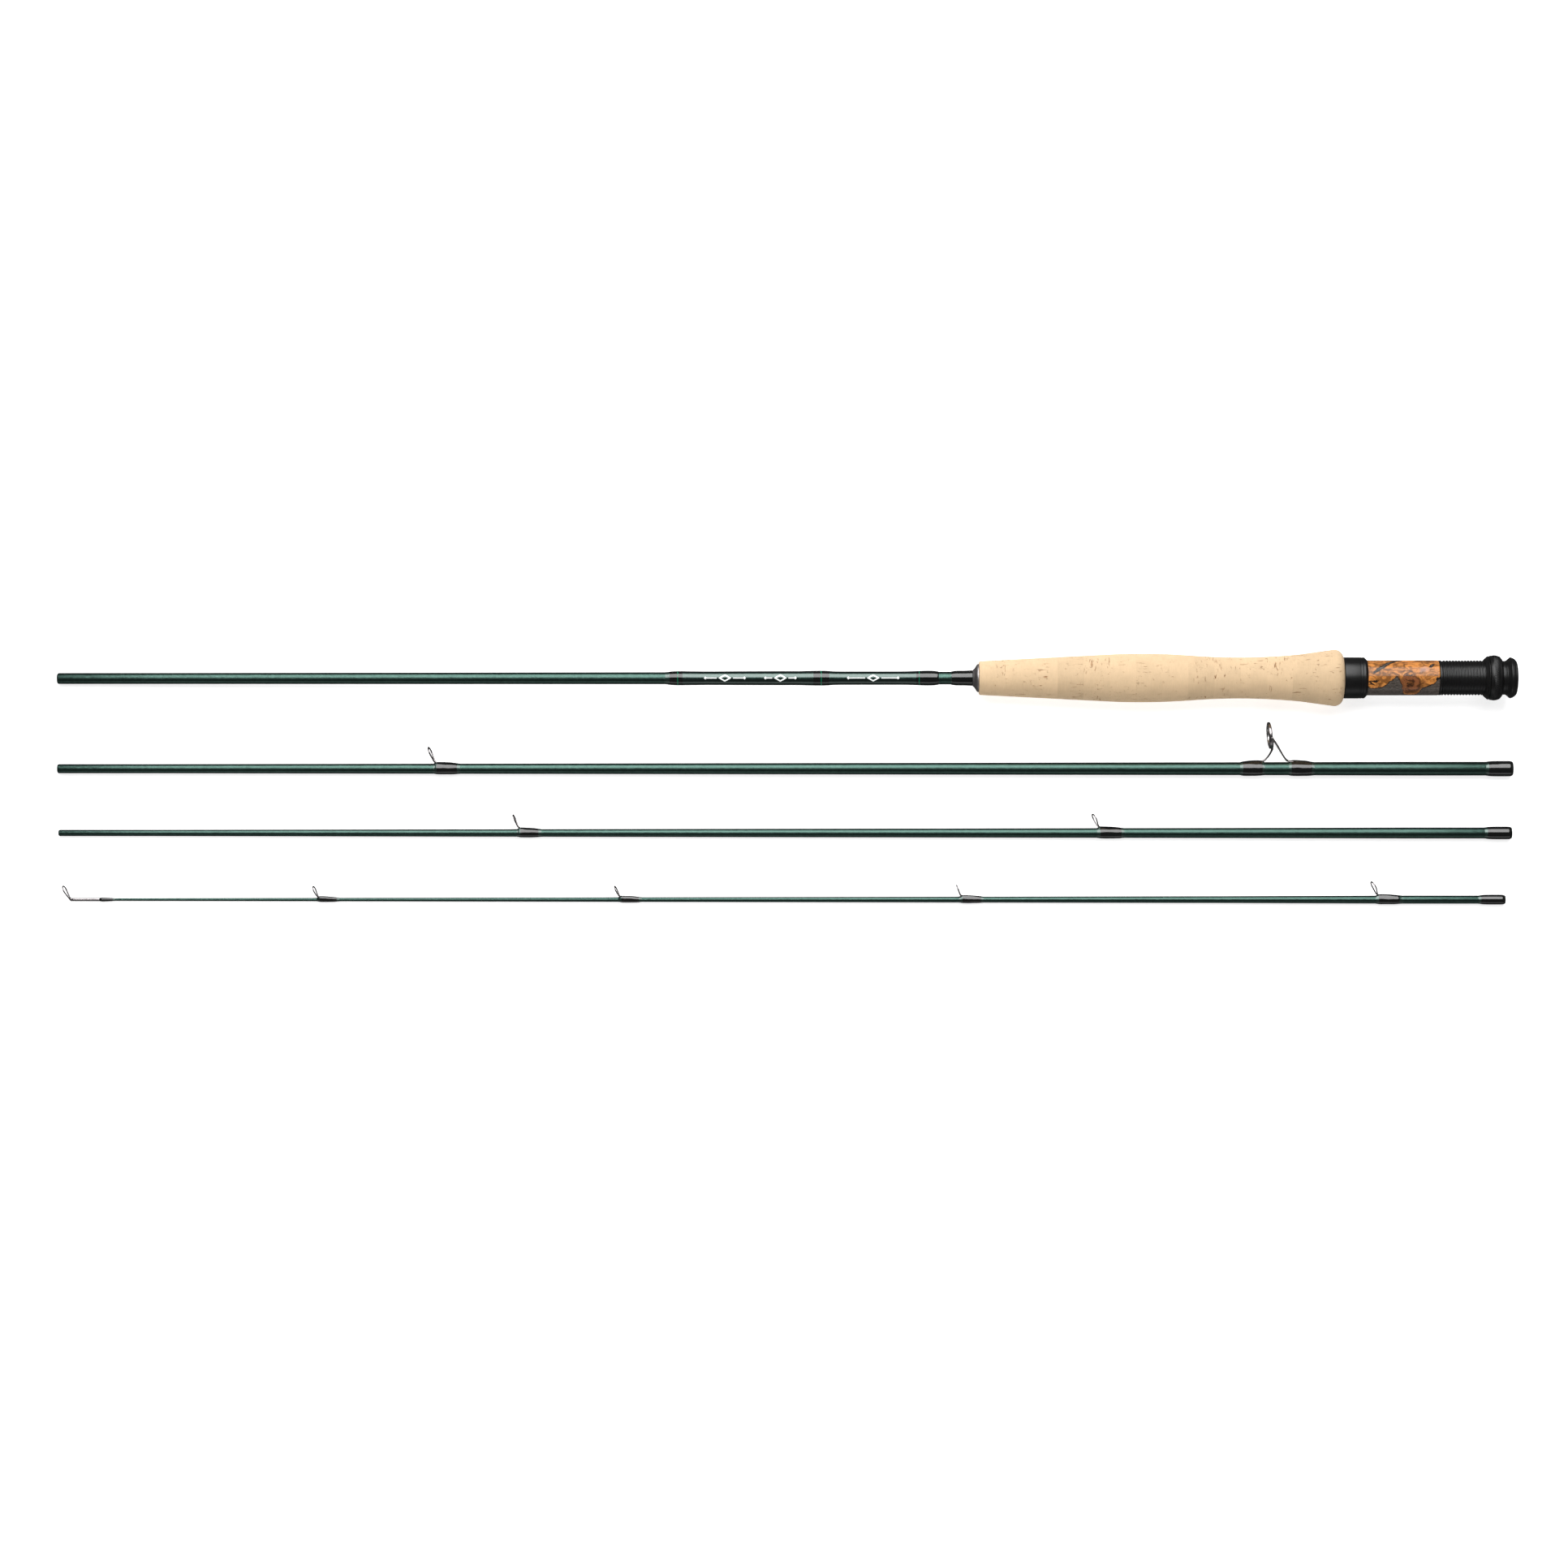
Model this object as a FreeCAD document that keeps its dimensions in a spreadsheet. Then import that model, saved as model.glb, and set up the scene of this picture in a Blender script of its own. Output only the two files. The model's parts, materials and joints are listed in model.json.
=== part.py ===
import FreeCAD, Part
import math
import os
import Sketcher

# Fly rod, nine feet long in four pieces, taken apart and laid out side by side.
# Every section is drawn along its own X axis: x = 0 is the end towards the rod tip,
# x grows towards the butt, and +Z is the side that carries the line guides.
# A "lie" placement then lays the finished section on the floor plane z = 0.
# All sizes are in millimetres.

V = FreeCAD.Vector

# How far a cutting tool runs past the face that it cuts.
OVERSHOOT = "1"

DIMENSIONS = {
    # how the four sections lie beside each other
    "gap_butt_lower": 44.9,
    "gap_lower_upper": 32.0,
    "gap_upper_tip": 33.2,
    "upper_mid_inset": 0.4,
    "tip_inset": 7.25,
    # blanks: lengths and outside radii
    "ferrule_length": 50.0,
    "ferrule_stop": 1.0,
    "socket_zone": 52.0,
    "socket_step": 4.0,
    "socket_swell": 90.0,
    "ferrule_clearance": 0.03,
    "glue_gap": 0.03,
    "butt_length": 724.4,
    "butt_male_radius": 2.75,
    "butt_label_radius": 3.0,
    "butt_label_back": 158.4,
    "butt_grip_radius": 3.2,
    "butt_end_radius": 3.9,
    "butt_wall": 0.7,
    "lower_mid_length": 724.2,
    "lower_mid_male_radius": 2.3,
    "lower_mid_body_radius": 3.22,
    "lower_mid_socket_wall": 0.64,
    "lower_mid_wall": 0.5,
    "upper_mid_length": 723.4,
    "upper_mid_male_radius": 1.57,
    "upper_mid_body_radius": 2.54,
    "upper_mid_socket_wall": 0.43,
    "upper_mid_wall": 0.42,
    "tip_length": 713.5,
    "tip_end_radius": 0.62,
    "tip_body_radius": 1.72,
    "tip_socket_wall": 0.43,
    "tip_wall": 0.4,
    "tip_core_start": 150.0,
    # thread wraps and epoxy
    "wrap_thickness": 0.3,
    "ferrule_wrap_length": 12.6,
    "ferrule_wrap_thickness": 0.42,
    "ferrule_wrap_back": 0.3,
    "wrap_run_out": 0.8,
    "wrap_lip": 0.06,
    "label_wrap_radius": 3.52,
    "label_front_back": 153.8,
    "label_front_length": 6.9,
    "label_middle_back": 82.0,
    "label_middle_length": 7.8,
    "label_middle_radius": 3.68,
    "label_rear_back": 31.1,
    "label_rear_length": 11.3,
    "label_rear_radius": 3.68,
    "label_coat_front_radius": 3.46,
    "label_coat_rear_radius": 3.34,
    "trim_band_width": 1.2,
    "trim_depth": 0.18,
    "trim_rise": 0.02,
    "trim_front_at": 3.864,
    "trim_middle_at": 3.276,
    "trim_rear_at": 0.9,
    "grip_wrap_back": 13.7,
    "grip_wrap_gap": 0.1,
    "grip_wrap_radius": 3.66,
    # winding check and cork grip
    "check_length": 3.2,
    "check_front_radius": 3.75,
    "check_lip_length": 0.5,
    "check_lip_rise": 0.1,
    "check_flare_arc": 3.4,
    "check_rim_length": 1.2,
    "check_rim_taper": 0.2,
    "check_rear_radius": 6.9,
    "check_gap": 0.05,
    "grip_length": 180.0,
    "cork_ring_count": 14,
    "cork_front_radius": 7.7,
    "cork_front_round": 0.7,
    "cork_shoulder_radius": 11.35,
    "cork_shoulder_share": 0.325,
    "cork_swell_end_radius": 11.15,
    "cork_swell_end_share": 0.58055556,
    "cork_swell_arc": 339.0,
    "cork_waist_end_radius": 11.75,
    "cork_waist_end_back": 20.5,
    "cork_waist_arc": 302.0,
    "cork_flare_radius": 13.97,
    "cork_flare_slope": 8.0,
    "cork_rear_radius": 10.3,
    "cork_rear_arc": 4.2,
    # reel seat
    "hood_length": 11.7,
    "hood_wall": 1.55,
    "hood_chamfer": 0.5,
    "hood_bevel_length": 1.1,
    "hood_bevel_depth": 1.2,
    "insert_proud": 0.03,
    "insert_length": 35.3,
    "spigot_clearance": 0.05,
    "spigot_length": 9.0,
    "barrel_radius": 8.62,
    "barrel_wall": 1.57,
    "barrel_chamfer": 0.3,
    "barrel_plain": 1.3,
    "barrel_length": 33.1,
    "neck_step": 0.27,
    "neck_length": 1.9,
    "thread_pitch": 1.5,
    "thread_depth": 0.5,
    "thread_mouth_share": 0.36,
    "thread_root_share": 0.08,
    "arbor_count": 3,
    "arbor_wall": 1.3,
    "arbor_length": 8.0,
    "arbor_first_x": 8.0,
    "arbor_spacing": 17.0,
    "cap_length": 5.9,
    "cap_front_rise": 0.45,
    "cap_flange_rise": 1.8,
    "cap_flange_x": 2.4,
    "cap_dome_drop": 2.55,
    "cap_dome_arc": 3.6,
    "cap_plug_clearance": 0.05,
    "cap_plug_length": 13.0,
    "cap_bore_clearance": 0.15,
    "cap_web": 6.5,
    "cap_blank_gap": 1.5,
    "cap_face_gap": 0.02,
    "hood_bore_clearance": 0.13,
    "sliding_hood_x": 22.5,
    "sliding_hood_length": 2.1,
    "sliding_hood_front_wall": 0.4,
    "sliding_hood_rear_wall": 2.05,
    "nut_gap": 0.15,
    "nut_length": 6.5,
    "nut_front_wall": 1.95,
    "nut_crown_wall": 2.5,
    "nut_rear_crown_wall": 2.15,
    "nut_rear_wall": 0.45,
    "nut_bevel": 0.9,
    "nut_rear_bevel": 2.0,
    "nut_crown_arc": 6.0,
    "foot_pocket_width": 9.4,
    "foot_pocket_height": 2.3,
    "foot_pocket_depth": 7.8,
    "foot_pocket_wall": 0.9,
    "foot_pocket_root": 2.62,
    "foot_pocket_solid": 2.0,
    "sliding_pocket_front": 2.6,
    "sliding_pocket_depth": 3.4,
    # stripping guide
    "strip_x": 603.0,
    "strip_lift": 16.8,
    "strip_lean": 5.0,
    "strip_ring_radius": 6.0,
    "strip_ring_wall": 1.4,
    "strip_ring_width": 1.9,
    "strip_ring_lip": 0.4,
    "strip_ring_edge": 0.5,
    "strip_frame_wall": 0.62,
    "strip_frame_width": 1.3,
    "strip_leg_radius": 0.65,
    "strip_leg_sink": 0.5,
    "strip_ankle_spread": 0.45,
    "strip_shoulder_back": 0.3,
    "strip_shoulder_drop": 1.2,
    "strip_front_toe_at": 13.2,
    "strip_front_heel_at": 2.4,
    "strip_rear_heel_at": 9.8,
    "strip_rear_toe_at": 21.0,
    "strip_foot_width": 2.2,
    "strip_foot_height": 0.9,
    "strip_foot_toe_height": 0.3,
    "strip_foot_tuck": 0.4,
    "strip_wrap_thickness": 0.32,
    "strip_wrap_over": 0.9,
    "strip_wrap_back": 0.8,
    # wire guides
    "foot_width": 1.3,
    "foot_height": 0.7,
    "foot_toe_height": 0.2,
    "foot_extra": 1.2,
    "foot_heel": 0.5,
    "foot_sink": 0.35,
    "foot_space": 0.03,
    "guide_wrap_back": 0.6,
    "loop_foot_rise": 0.12,
    "loop_foot_spread": 1.04,
    "wire_radius": 0.32,
    "first_wire_radius": 0.38,
    # tip-top
    "tip_tube_length": 14.6,
    "tip_tube_radius": 0.78,
    "tip_top_height": 8.6,
    "tip_top_loop": 2.3,
    "tip_top_lean": 26.0,
    "tip_top_nose": 0.1,
    "tip_top_solder": 1.05,
    "tip_top_wall": 0.05,
    "tip_top_wrap_gap": 0.1,
    "tip_top_wrap_length": 7.0,
    "tip_top_wrap_radius": 0.98,
}

# One wire guide per entry: section, distance from the tip end, length of its wrap,
# height along the lean, lean towards the tip, centre-line radius of the loop.
WIRE_GUIDES = {
    "lower_mid_guide": ("lower_mid", 188.2, 11.8, 9.1, 23.0, 2.75),
    "upper_mid_guide_1": ("upper_mid", 229.3, 10.8, 7.9, 22.6, 2.35),
    "upper_mid_guide_2": ("upper_mid", 517.9, 12.2, 7.7, 23.0, 2.3),
    "tip_guide_1": ("tip", 122.5, 10.1, 6.7, 23.0, 2.0),
    "tip_guide_2": ("tip", 272.8, 10.3, 6.6, 25.0, 2.0),
    "tip_guide_3": ("tip", 442.5, 10.9, 6.6, 19.5, 2.0),
    "tip_guide_4": ("tip", 649.8, 11.9, 7.6, 28.6, 2.3),
}
GUIDE_VALUES = ("x", "wrap", "height", "lean", "loop")

doc = FreeCAD.newDocument("fly_rod")
sheet = doc.addObject("Spreadsheet::Sheet", "Dims")
nodes = []


def write_sheet():
    """Put every driving dimension in one row of the sheet: its name and its value."""
    values = dict(DIMENSIONS)
    for name, (_, *numbers) in WIRE_GUIDES.items():
        for word, number in zip(GUIDE_VALUES, numbers):
            values[name + "_" + word] = number
    for row, (alias, value) in enumerate(values.items(), start=1):
        sheet.set("A%d" % row, alias)
        sheet.set("B%d" % row, str(value))
        sheet.setAlias("B%d" % row, alias)
    doc.recompute()


def cell(text):
    """Write the sheet's aliases in full, so that an expression can stay short."""
    out = ""
    word = ""
    for letter in text + " ":
        if letter.isalnum() or letter in "_.":
            word += letter
            continue
        known = word.count("_") > 0 and not word[0].isdigit()
        out += ("Dims." + word if known and "." not in word else word) + letter
        word = ""
    return out.strip()


def number(expression):
    """The value of an expression now."""
    return float(sheet.evalExpression(cell(str(expression))))


def bind(thing, prop, expression):
    thing.setExpression(prop, cell(str(expression)))


def at(x=0, y=0, z=0, yaw=0, pitch=0, roll=0):
    """The expression of a placement: where it is, and its turns about Z, Y and X."""
    return "placement(vector(%s;%s;%s);rotation(%s;%s;%s))" % (x, y, z, yaw, pitch, roll)


def node(thing, label, section):
    """Name a finished piece and lay it down with its section."""
    thing.Label = label
    thing.setExpression("Placement", LIES[section] + ".Placement")
    nodes.append(thing)
    return thing


# ---------------------------------------------------------------- drawing helpers


def origin_plane(body, role):
    return [plane for plane in body.Origin.OriginFeatures if plane.Role == role][0]


def arc_through(start, end, radius):
    """An arc of a given radius between two points, drawn anticlockwise; a positive radius
    bulges outwards."""
    chord = end - start
    middle = (start + end) * 0.5
    outwards = V(-chord.y, chord.x, 0).normalize()
    if outwards.y < 0:
        outwards = outwards * -1
    half = chord.Length / 2
    rise = abs(radius) - math.sqrt(radius * radius - half * half)
    crest = middle + outwards * math.copysign(rise, radius)
    if chord.cross(crest - start).z > 0:
        start, end = end, start
    return Part.Arc(start, crest, end)


def draw_outline(sketch, corners):
    """A closed outline. A corner is (x, r), or (x, r, radius) where the edge that leaves it
    is an arc. Every corner and every radius is bound to the sheet."""
    points = [V(number(corner[0]), number(corner[1]), 0) for corner in corners]
    count = len(points)
    starts = [1] * count
    for i, corner in enumerate(corners):
        start = points[i]
        end = points[(i + 1) % count]
        if len(corner) == 2:
            sketch.addGeometry(Part.LineSegment(start, end), False)
            continue
        sketch.addGeometry(arc_through(start, end, number(corner[2])), False)
        if sketch.Geometry[i].StartPoint.distanceToPoint(start) > 1e-6:
            starts[i] = 2
    for i, corner in enumerate(corners):
        following = (i + 1) % count
        sketch.addConstraint(Sketcher.Constraint(
            "Coincident", i, 3 - starts[i], following, starts[following]))
        for kind, value, expression in (("DistanceX", points[i].x, corner[0]),
                                        ("DistanceY", points[i].y, corner[1])):
            index = sketch.addConstraint(
                Sketcher.Constraint(kind, -1, 1, i, starts[i], value))
            bind(sketch, "Constraints[%d]" % index, expression)
        if len(corner) == 3:
            index = sketch.addConstraint(
                Sketcher.Constraint("Radius", i, sketch.Geometry[i].Radius))
            bind(sketch, "Constraints[%d]" % index, "abs(%s)" % corner[2])


def turned(name, corners):
    """A piece turned about its X axis from a half outline of (x, radius) corners."""
    body = doc.addObject("PartDesign::Body", name)
    sketch = body.newObject("Sketcher::SketchObject", name + "_outline")
    sketch.AttachmentSupport = [(origin_plane(body, "XZ_Plane"), "")]
    sketch.MapMode = "FlatFace"
    draw_outline(sketch, corners)
    turn = body.newObject("PartDesign::Revolution", name + "_turn")
    turn.Profile = sketch
    turn.ReferenceAxis = (sketch, ["H_Axis"])
    turn.Angle = 360
    return body


def rod(name, x, length, radius, y=0, z=0):
    """A round bar along X."""
    bar = doc.addObject("Part::Cylinder", name)
    bind(bar, "Radius", radius)
    bind(bar, "Height", length)
    bind(bar, "Placement", at(x, y, z, 0, 90, 0))
    return bar


def block(name, x, length, width, low, high):
    """A box along X, centred on y = 0, between two heights."""
    box = doc.addObject("Part::Box", name)
    bind(box, "Length", length)
    bind(box, "Width", width)
    bind(box, "Height", "(%s) - (%s)" % (high, low))
    bind(box, "Placement", at(x, "-(%s) / 2" % width, low))
    return box


def strut(name, start, end, radius):
    """A round bar between two points."""
    dx, dy, dz = ["((%s) - (%s))" % (b, a) for a, b in zip(start, end)]
    flat = "sqrt({0} * {0} + {1} * {1})".format(dx, dy)
    bar = doc.addObject("Part::Cylinder", name)
    bind(bar, "Radius", radius)
    bind(bar, "Height", "sqrt({0} * {0} + {1} * {1} + {2} * {2})".format(dx, dy, dz))
    bind(bar, "Placement", at(*start, "atan2(%s; %s)" % (dy, dx), "atan2(%s; %s)" % (flat, dz), 0))
    return bar


def joined(name, *pieces):
    thing = doc.addObject("Part::MultiFuse", name)
    thing.Shapes = list(pieces)
    return thing


def cut(name, base, tool):
    thing = doc.addObject("Part::Cut", name)
    thing.Base = base
    thing.Tool = tool
    return thing


def group(name, pieces):
    thing = doc.addObject("Part::Compound", name)
    thing.Links = list(pieces)
    return thing


# ---------------------------------------------------------------- where things are


def radius_at(section, x):
    """The blank's outside radius at x, behind its male ferrule."""
    if section != "butt" and number(x) > number(SOCKET_START[section]):
        return SOCKET_RADIUS[section]
    if section != "butt" and number(x) > number(SWELL_START[section]):
        low, high = section + "_body_radius", SOCKET_RADIUS[section]
        start, end = SWELL_START[section], SOCKET_START[section]
    elif section == "tip":
        low, high = "tip_end_radius", "tip_body_radius"
        start, end = "0", SWELL_START["tip"]
    elif section == "butt":
        low, high = "butt_label_radius", "butt_grip_radius"
        start, end = LABEL_START, GRIP_START
    else:
        low, high = section + "_male_radius", section + "_body_radius"
        start, end = "ferrule_length", SWELL_START[section]
    return "({0} + ({1} - {0}) * (({2}) - {3}) / (({4}) - {3}))".format(low, high, x, start, end)


def inside_grip(x):
    """The blank's outside radius from the grip back to its butt end."""
    return ("(butt_grip_radius + (butt_end_radius - butt_grip_radius)"
            " * (({0}) - {2}) / ({1} - {2}))").format(x, BUTT_BLANK_END, GRIP_START)


SWELL_START = {name: "(%s_length - socket_zone - socket_swell)" % name
               for name in ("lower_mid", "upper_mid", "tip")}
SOCKET_START = {name: "(%s_length - socket_zone)" % name
                for name in ("lower_mid", "upper_mid", "tip")}
SOCKET_BORE = {"lower_mid": "(butt_male_radius + ferrule_clearance)",
               "upper_mid": "(lower_mid_male_radius + ferrule_clearance)",
               "tip": "(upper_mid_male_radius + ferrule_clearance)"}
SOCKET_RADIUS = {name: "(%s + %s_socket_wall)" % (bore, name)
                 for name, bore in SOCKET_BORE.items()}

BARREL_END = "(butt_length - cap_length)"
INSERT_END = "(%s - barrel_length)" % BARREL_END
HOOD_END = "(%s - insert_length)" % INSERT_END
CORK_END = "(%s - hood_length)" % HOOD_END
GRIP_START = "(%s - grip_length)" % CORK_END
GRIP_FACE = "(%s - check_gap)" % GRIP_START
CHECK_START = "(%s - check_length)" % GRIP_START
LABEL_START = "(%s - butt_label_back)" % GRIP_START
LABEL_FRONT = "(%s - label_front_back)" % GRIP_START
LABEL_MIDDLE = "(%s - label_middle_back)" % GRIP_START
LABEL_REAR = "(%s - label_rear_back)" % GRIP_START
GRIP_WRAP_START = "(%s - grip_wrap_back)" % GRIP_START
BUTT_BLANK_END = "(butt_length - cap_web - cap_blank_gap)"
SLIDING_HOOD_START = "(%s + sliding_hood_x)" % INSERT_END
NUT_START = "(%s + sliding_hood_length + nut_gap)" % SLIDING_HOOD_START
TUBE_START = "(0 - tip_tube_radius)"
INSERT_RADIUS = "(barrel_radius + insert_proud)"
HOOD_RADIUS = "(%s + hood_wall)" % INSERT_RADIUS
BARREL_BORE = "(barrel_radius - barrel_wall)"
NECK_RADIUS = "(barrel_radius - neck_step)"
INSERT_BORE = "(butt_end_radius + arbor_wall)"
CAP_BORE = "(butt_end_radius + cap_bore_clearance)"
CAP_FLANGE = "(%s + cap_flange_rise)" % NECK_RADIUS
HOOD_BORE = "(barrel_radius + hood_bore_clearance)"
POCKET_FLOOR = "-(barrel_radius + foot_pocket_height)"
POCKET_ROOT = "-(barrel_radius - foot_pocket_root)"
STRIP_HOLE = "(strip_ring_radius + glue_gap)"
STRIP_FRAME = "(%s + strip_frame_wall)" % STRIP_HOLE
STRIP_BORE = "(strip_ring_radius - strip_ring_wall)"
STRIP_PLACES = {"front_toe": "(strip_x - strip_front_toe_at)",
                "front_heel": "(strip_x - strip_front_heel_at)",
                "rear_heel": "(strip_x + strip_rear_heel_at)",
                "rear_toe": "(strip_x + strip_rear_toe_at)"}
FLARE_X = ("({0} - sqrt(cork_rear_arc * cork_rear_arc - {1} * {1}))").format(
    CORK_END, "(cork_rear_radius - cork_flare_radius + cork_rear_arc)")

FERRULE_WRAP_START = {name: "(%s_length - ferrule_wrap_length)" % name
                      for name in ("lower_mid", "upper_mid", "tip")}


def wrap_rest(guide):
    """Where a guide's wrap touches the floor: its middle, and its outside radius there."""
    section = WIRE_GUIDES[guide][0]
    middle = "({0}_x + {0}_wrap / 2)".format(guide)
    return middle, "(%s + wrap_thickness)" % radius_at(section, middle)


def lay_down(name, row, start, rests, roll):
    """Lay a section on the floor on two round places, rests = ((x, r), (x, r)), and roll it
    about its own axis."""
    (x_a, r_a), (x_b, r_b) = rests
    slope = "asin(({3} - {1}) / ({2} - {0}))".format(x_a, r_a, x_b, r_b)
    lift = "({1} / cos({4}) - {0} * tan({4}))".format(x_a, r_a, x_b, r_b, slope)
    lie = doc.addObject("App::Placement", name)
    bind(lie, "Placement", at(start, row, lift, 0, "-" + slope, roll))
    return lie.Name


def roll_onto(ring_radius, reach, x, first, second):
    """The roll that lays a section over on the ring at x, which is reach from its axis, while
    its two round places rest on the floor."""
    height = "({1} + ({3} - {1}) * ({4} - {0}) / ({2} - {0}))".format(*first, *second, x)
    return "-(90 deg - asin((%s - %s) / %s))" % (ring_radius, height, reach)


def loop_reach(name):
    """How far the centre of a wire loop stands off its foot, square to the blank."""
    return "(({0}_height - {0}_loop - wire_radius) * cos({0}_lean))".format(name)


def lay_out_sections():
    """Four rows side by side, centred on the origin, every section lying on the floor."""
    left = "(0 - butt_length / 2)"
    across = "(cork_flare_radius + gap_butt_lower + gap_lower_upper + gap_upper_tip" \
             " + %s + ferrule_wrap_thickness)" % SOCKET_RADIUS["tip"]
    row_butt = "(%s / 2 - cork_flare_radius)" % across
    row_lower = "(%s - gap_butt_lower)" % row_butt
    row_upper = "(%s - gap_lower_upper)" % row_lower
    row_tip = "(%s - gap_upper_tip)" % row_upper
    ferrule_rest = {
        name: ("(%s_length - ferrule_wrap_length / 2)" % name,
               "(%s + ferrule_wrap_thickness)" % SOCKET_RADIUS[name])
        for name in ("lower_mid", "upper_mid", "tip")}
    return {
        "butt": lay_down("butt_lie", row_butt, left,
                         (("0", "butt_male_radius"), (FLARE_X, "cork_flare_radius")), "0"),
        "lower_mid": lay_down("lower_mid_lie", row_lower, left,
                              (wrap_rest("lower_mid_guide"), ferrule_rest["lower_mid"]),
                              roll_onto(STRIP_FRAME, "strip_lift", "strip_x",
                                        wrap_rest("lower_mid_guide"), ferrule_rest["lower_mid"])),
        "upper_mid": lay_down("upper_mid_lie", row_upper, left + " + upper_mid_inset",
                              (wrap_rest("upper_mid_guide_1"), ferrule_rest["upper_mid"]),
                              roll_onto("(upper_mid_guide_1_loop + wire_radius)",
                                        "(%s + %s)" % (loop_reach("upper_mid_guide_1"),
                                                       radius_at("upper_mid",
                                                                 "upper_mid_guide_1_x")),
                                        "upper_mid_guide_1_x",
                                        wrap_rest("upper_mid_guide_1"),
                                        ferrule_rest["upper_mid"])),
        "tip": lay_down("tip_lie", row_tip, left + " + tip_inset",
                        (wrap_rest("tip_guide_1"), ferrule_rest["tip"]),
                        roll_onto("(tip_top_loop + wire_radius)",
                                  "(%s - tip_tube_radius * 0.6)" % loop_reach("tip_top"), "0",
                                  wrap_rest("tip_guide_1"), ferrule_rest["tip"])),
    }


# ---------------------------------------------------------------- the blanks


def butt_blank():
    """Tapered tube from the bare male ferrule, through grip and reel seat, into the cap."""
    wall = "butt_wall"
    outer = [("0", "butt_male_radius"), ("ferrule_length", "butt_male_radius"),
             (LABEL_START, "butt_label_radius"), (GRIP_START, "butt_grip_radius"),
             (BUTT_BLANK_END, "butt_end_radius")]
    inner = [(x, "(%s - %s)" % (r, wall)) for x, r in reversed(outer)]
    node(turned("butt_blank", outer + inner), "butt_blank", "butt")


def mid_blank(section):
    """A middle section: bare male ferrule at the tip side, swollen socket at the butt side."""
    body_radius = section + "_body_radius"
    male = section + "_male_radius"
    socket = SOCKET_RADIUS[section]
    wall = section + "_wall"
    length = section + "_length"
    bore = SOCKET_BORE[section]
    outer = [("0", male), ("ferrule_length", male), (SWELL_START[section], body_radius),
             (SOCKET_START[section], socket), (length, socket)]
    step = "(%s - socket_step)" % SOCKET_START[section]
    floor = "(%s_length - ferrule_length - ferrule_stop)" % section
    inner = [(length, bore), (floor, bore), (step, "(%s - 2 * %s)" % (body_radius, wall)),
             ("ferrule_length", "(%s - %s)" % (male, wall)), ("0", "(%s - %s)" % (male, wall))]
    node(turned(section + "_blank", outer + inner), section + "_blank", section)


def tip_blank():
    """The tip section is solid for its first stretch and hollow from there to its socket."""
    bore = SOCKET_BORE["tip"]
    corners = [("0", "0"), ("0", "tip_end_radius"), (SWELL_START["tip"], "tip_body_radius"),
               (SOCKET_START["tip"], SOCKET_RADIUS["tip"]), ("tip_length", SOCKET_RADIUS["tip"]),
               ("tip_length", bore), ("(tip_length - ferrule_length - ferrule_stop)", bore),
               ("(%s - socket_step)" % SOCKET_START["tip"], "(tip_body_radius - tip_wall)"),
               ("tip_core_start", "0")]
    node(turned("tip_blank", corners), "tip_blank", "tip")


# ---------------------------------------------------------------- wraps


def wrap(name, start, length, bores, radius, section):
    """A thread wrap under epoxy: it runs out to the blank at both ends. bores are the blank's
    radii under its two ends."""
    end = "(%s + %s)" % (start, length)
    low, high = ["(%s + glue_gap)" % bore for bore in bores]
    corners = [(start, low), (start, "(%s + wrap_lip)" % low),
               ("(%s + wrap_run_out)" % start, radius), ("(%s - wrap_run_out)" % end, radius),
               (end, "(%s + wrap_lip)" % high), (end, high)]
    return node(turned(name, corners), name, section)


def butt_wraps():
    """Wraps before, between and after the clear-coated label stretches, the clear coat itself,
    the bright trim bands laid in the wraps, and the wrap in front of the winding check."""
    places = {"label_front_wrap": (LABEL_FRONT, "label_front_length", "label_wrap_radius"),
              "label_middle_wrap": (LABEL_MIDDLE, "label_middle_length", "label_middle_radius"),
              "label_rear_wrap": (LABEL_REAR, "label_rear_length", "label_rear_radius"),
              "grip_wrap": (GRIP_WRAP_START, "(grip_wrap_back - check_length - grip_wrap_gap)",
                            "grip_wrap_radius")}
    trim_at = {"label_front_wrap": "(%s + trim_front_at)" % LABEL_FRONT,
               "label_middle_wrap": "(%s + trim_middle_at)" % LABEL_MIDDLE,
               "label_rear_wrap": "(%s + trim_rear_at)" % LABEL_REAR}
    bands = []
    for name, (start, length, radius) in places.items():
        bores = [radius_at("butt", start), radius_at("butt", "%s + %s" % (start, length))]
        if name not in trim_at:
            wrap(name, start, length, bores, radius, "butt")
            continue
        body = wrap_with_groove(name, start, length, bores, radius, trim_at[name])
        node(body, name, "butt")
        band_bore = "(%s - trim_depth)" % radius
        bands.append(turned(name + "_trim", [
            (trim_at[name], band_bore), (trim_at[name], "(%s + trim_rise)" % radius),
            ("(%s + trim_band_width)" % trim_at[name], "(%s + trim_rise)" % radius),
            ("(%s + trim_band_width)" % trim_at[name], band_bore)]))
    node(group("trim_bands", bands), "trim_bands", "butt")
    coats = []
    for name, start, end, radius in (
            ("label_coat_front", "(%s + label_front_length)" % LABEL_FRONT, LABEL_MIDDLE,
             "label_coat_front_radius"),
            ("label_coat_rear", "(%s + label_middle_length)" % LABEL_MIDDLE, LABEL_REAR,
             "label_coat_rear_radius")):
        low = "(%s + glue_gap)" % radius_at("butt", start)
        high = "(%s + glue_gap)" % radius_at("butt", end)
        coats.append(turned(name, [(start, low), (start, radius), (end, radius), (end, high)]))
    node(group("label_coat", coats), "label_coat", "butt")


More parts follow.
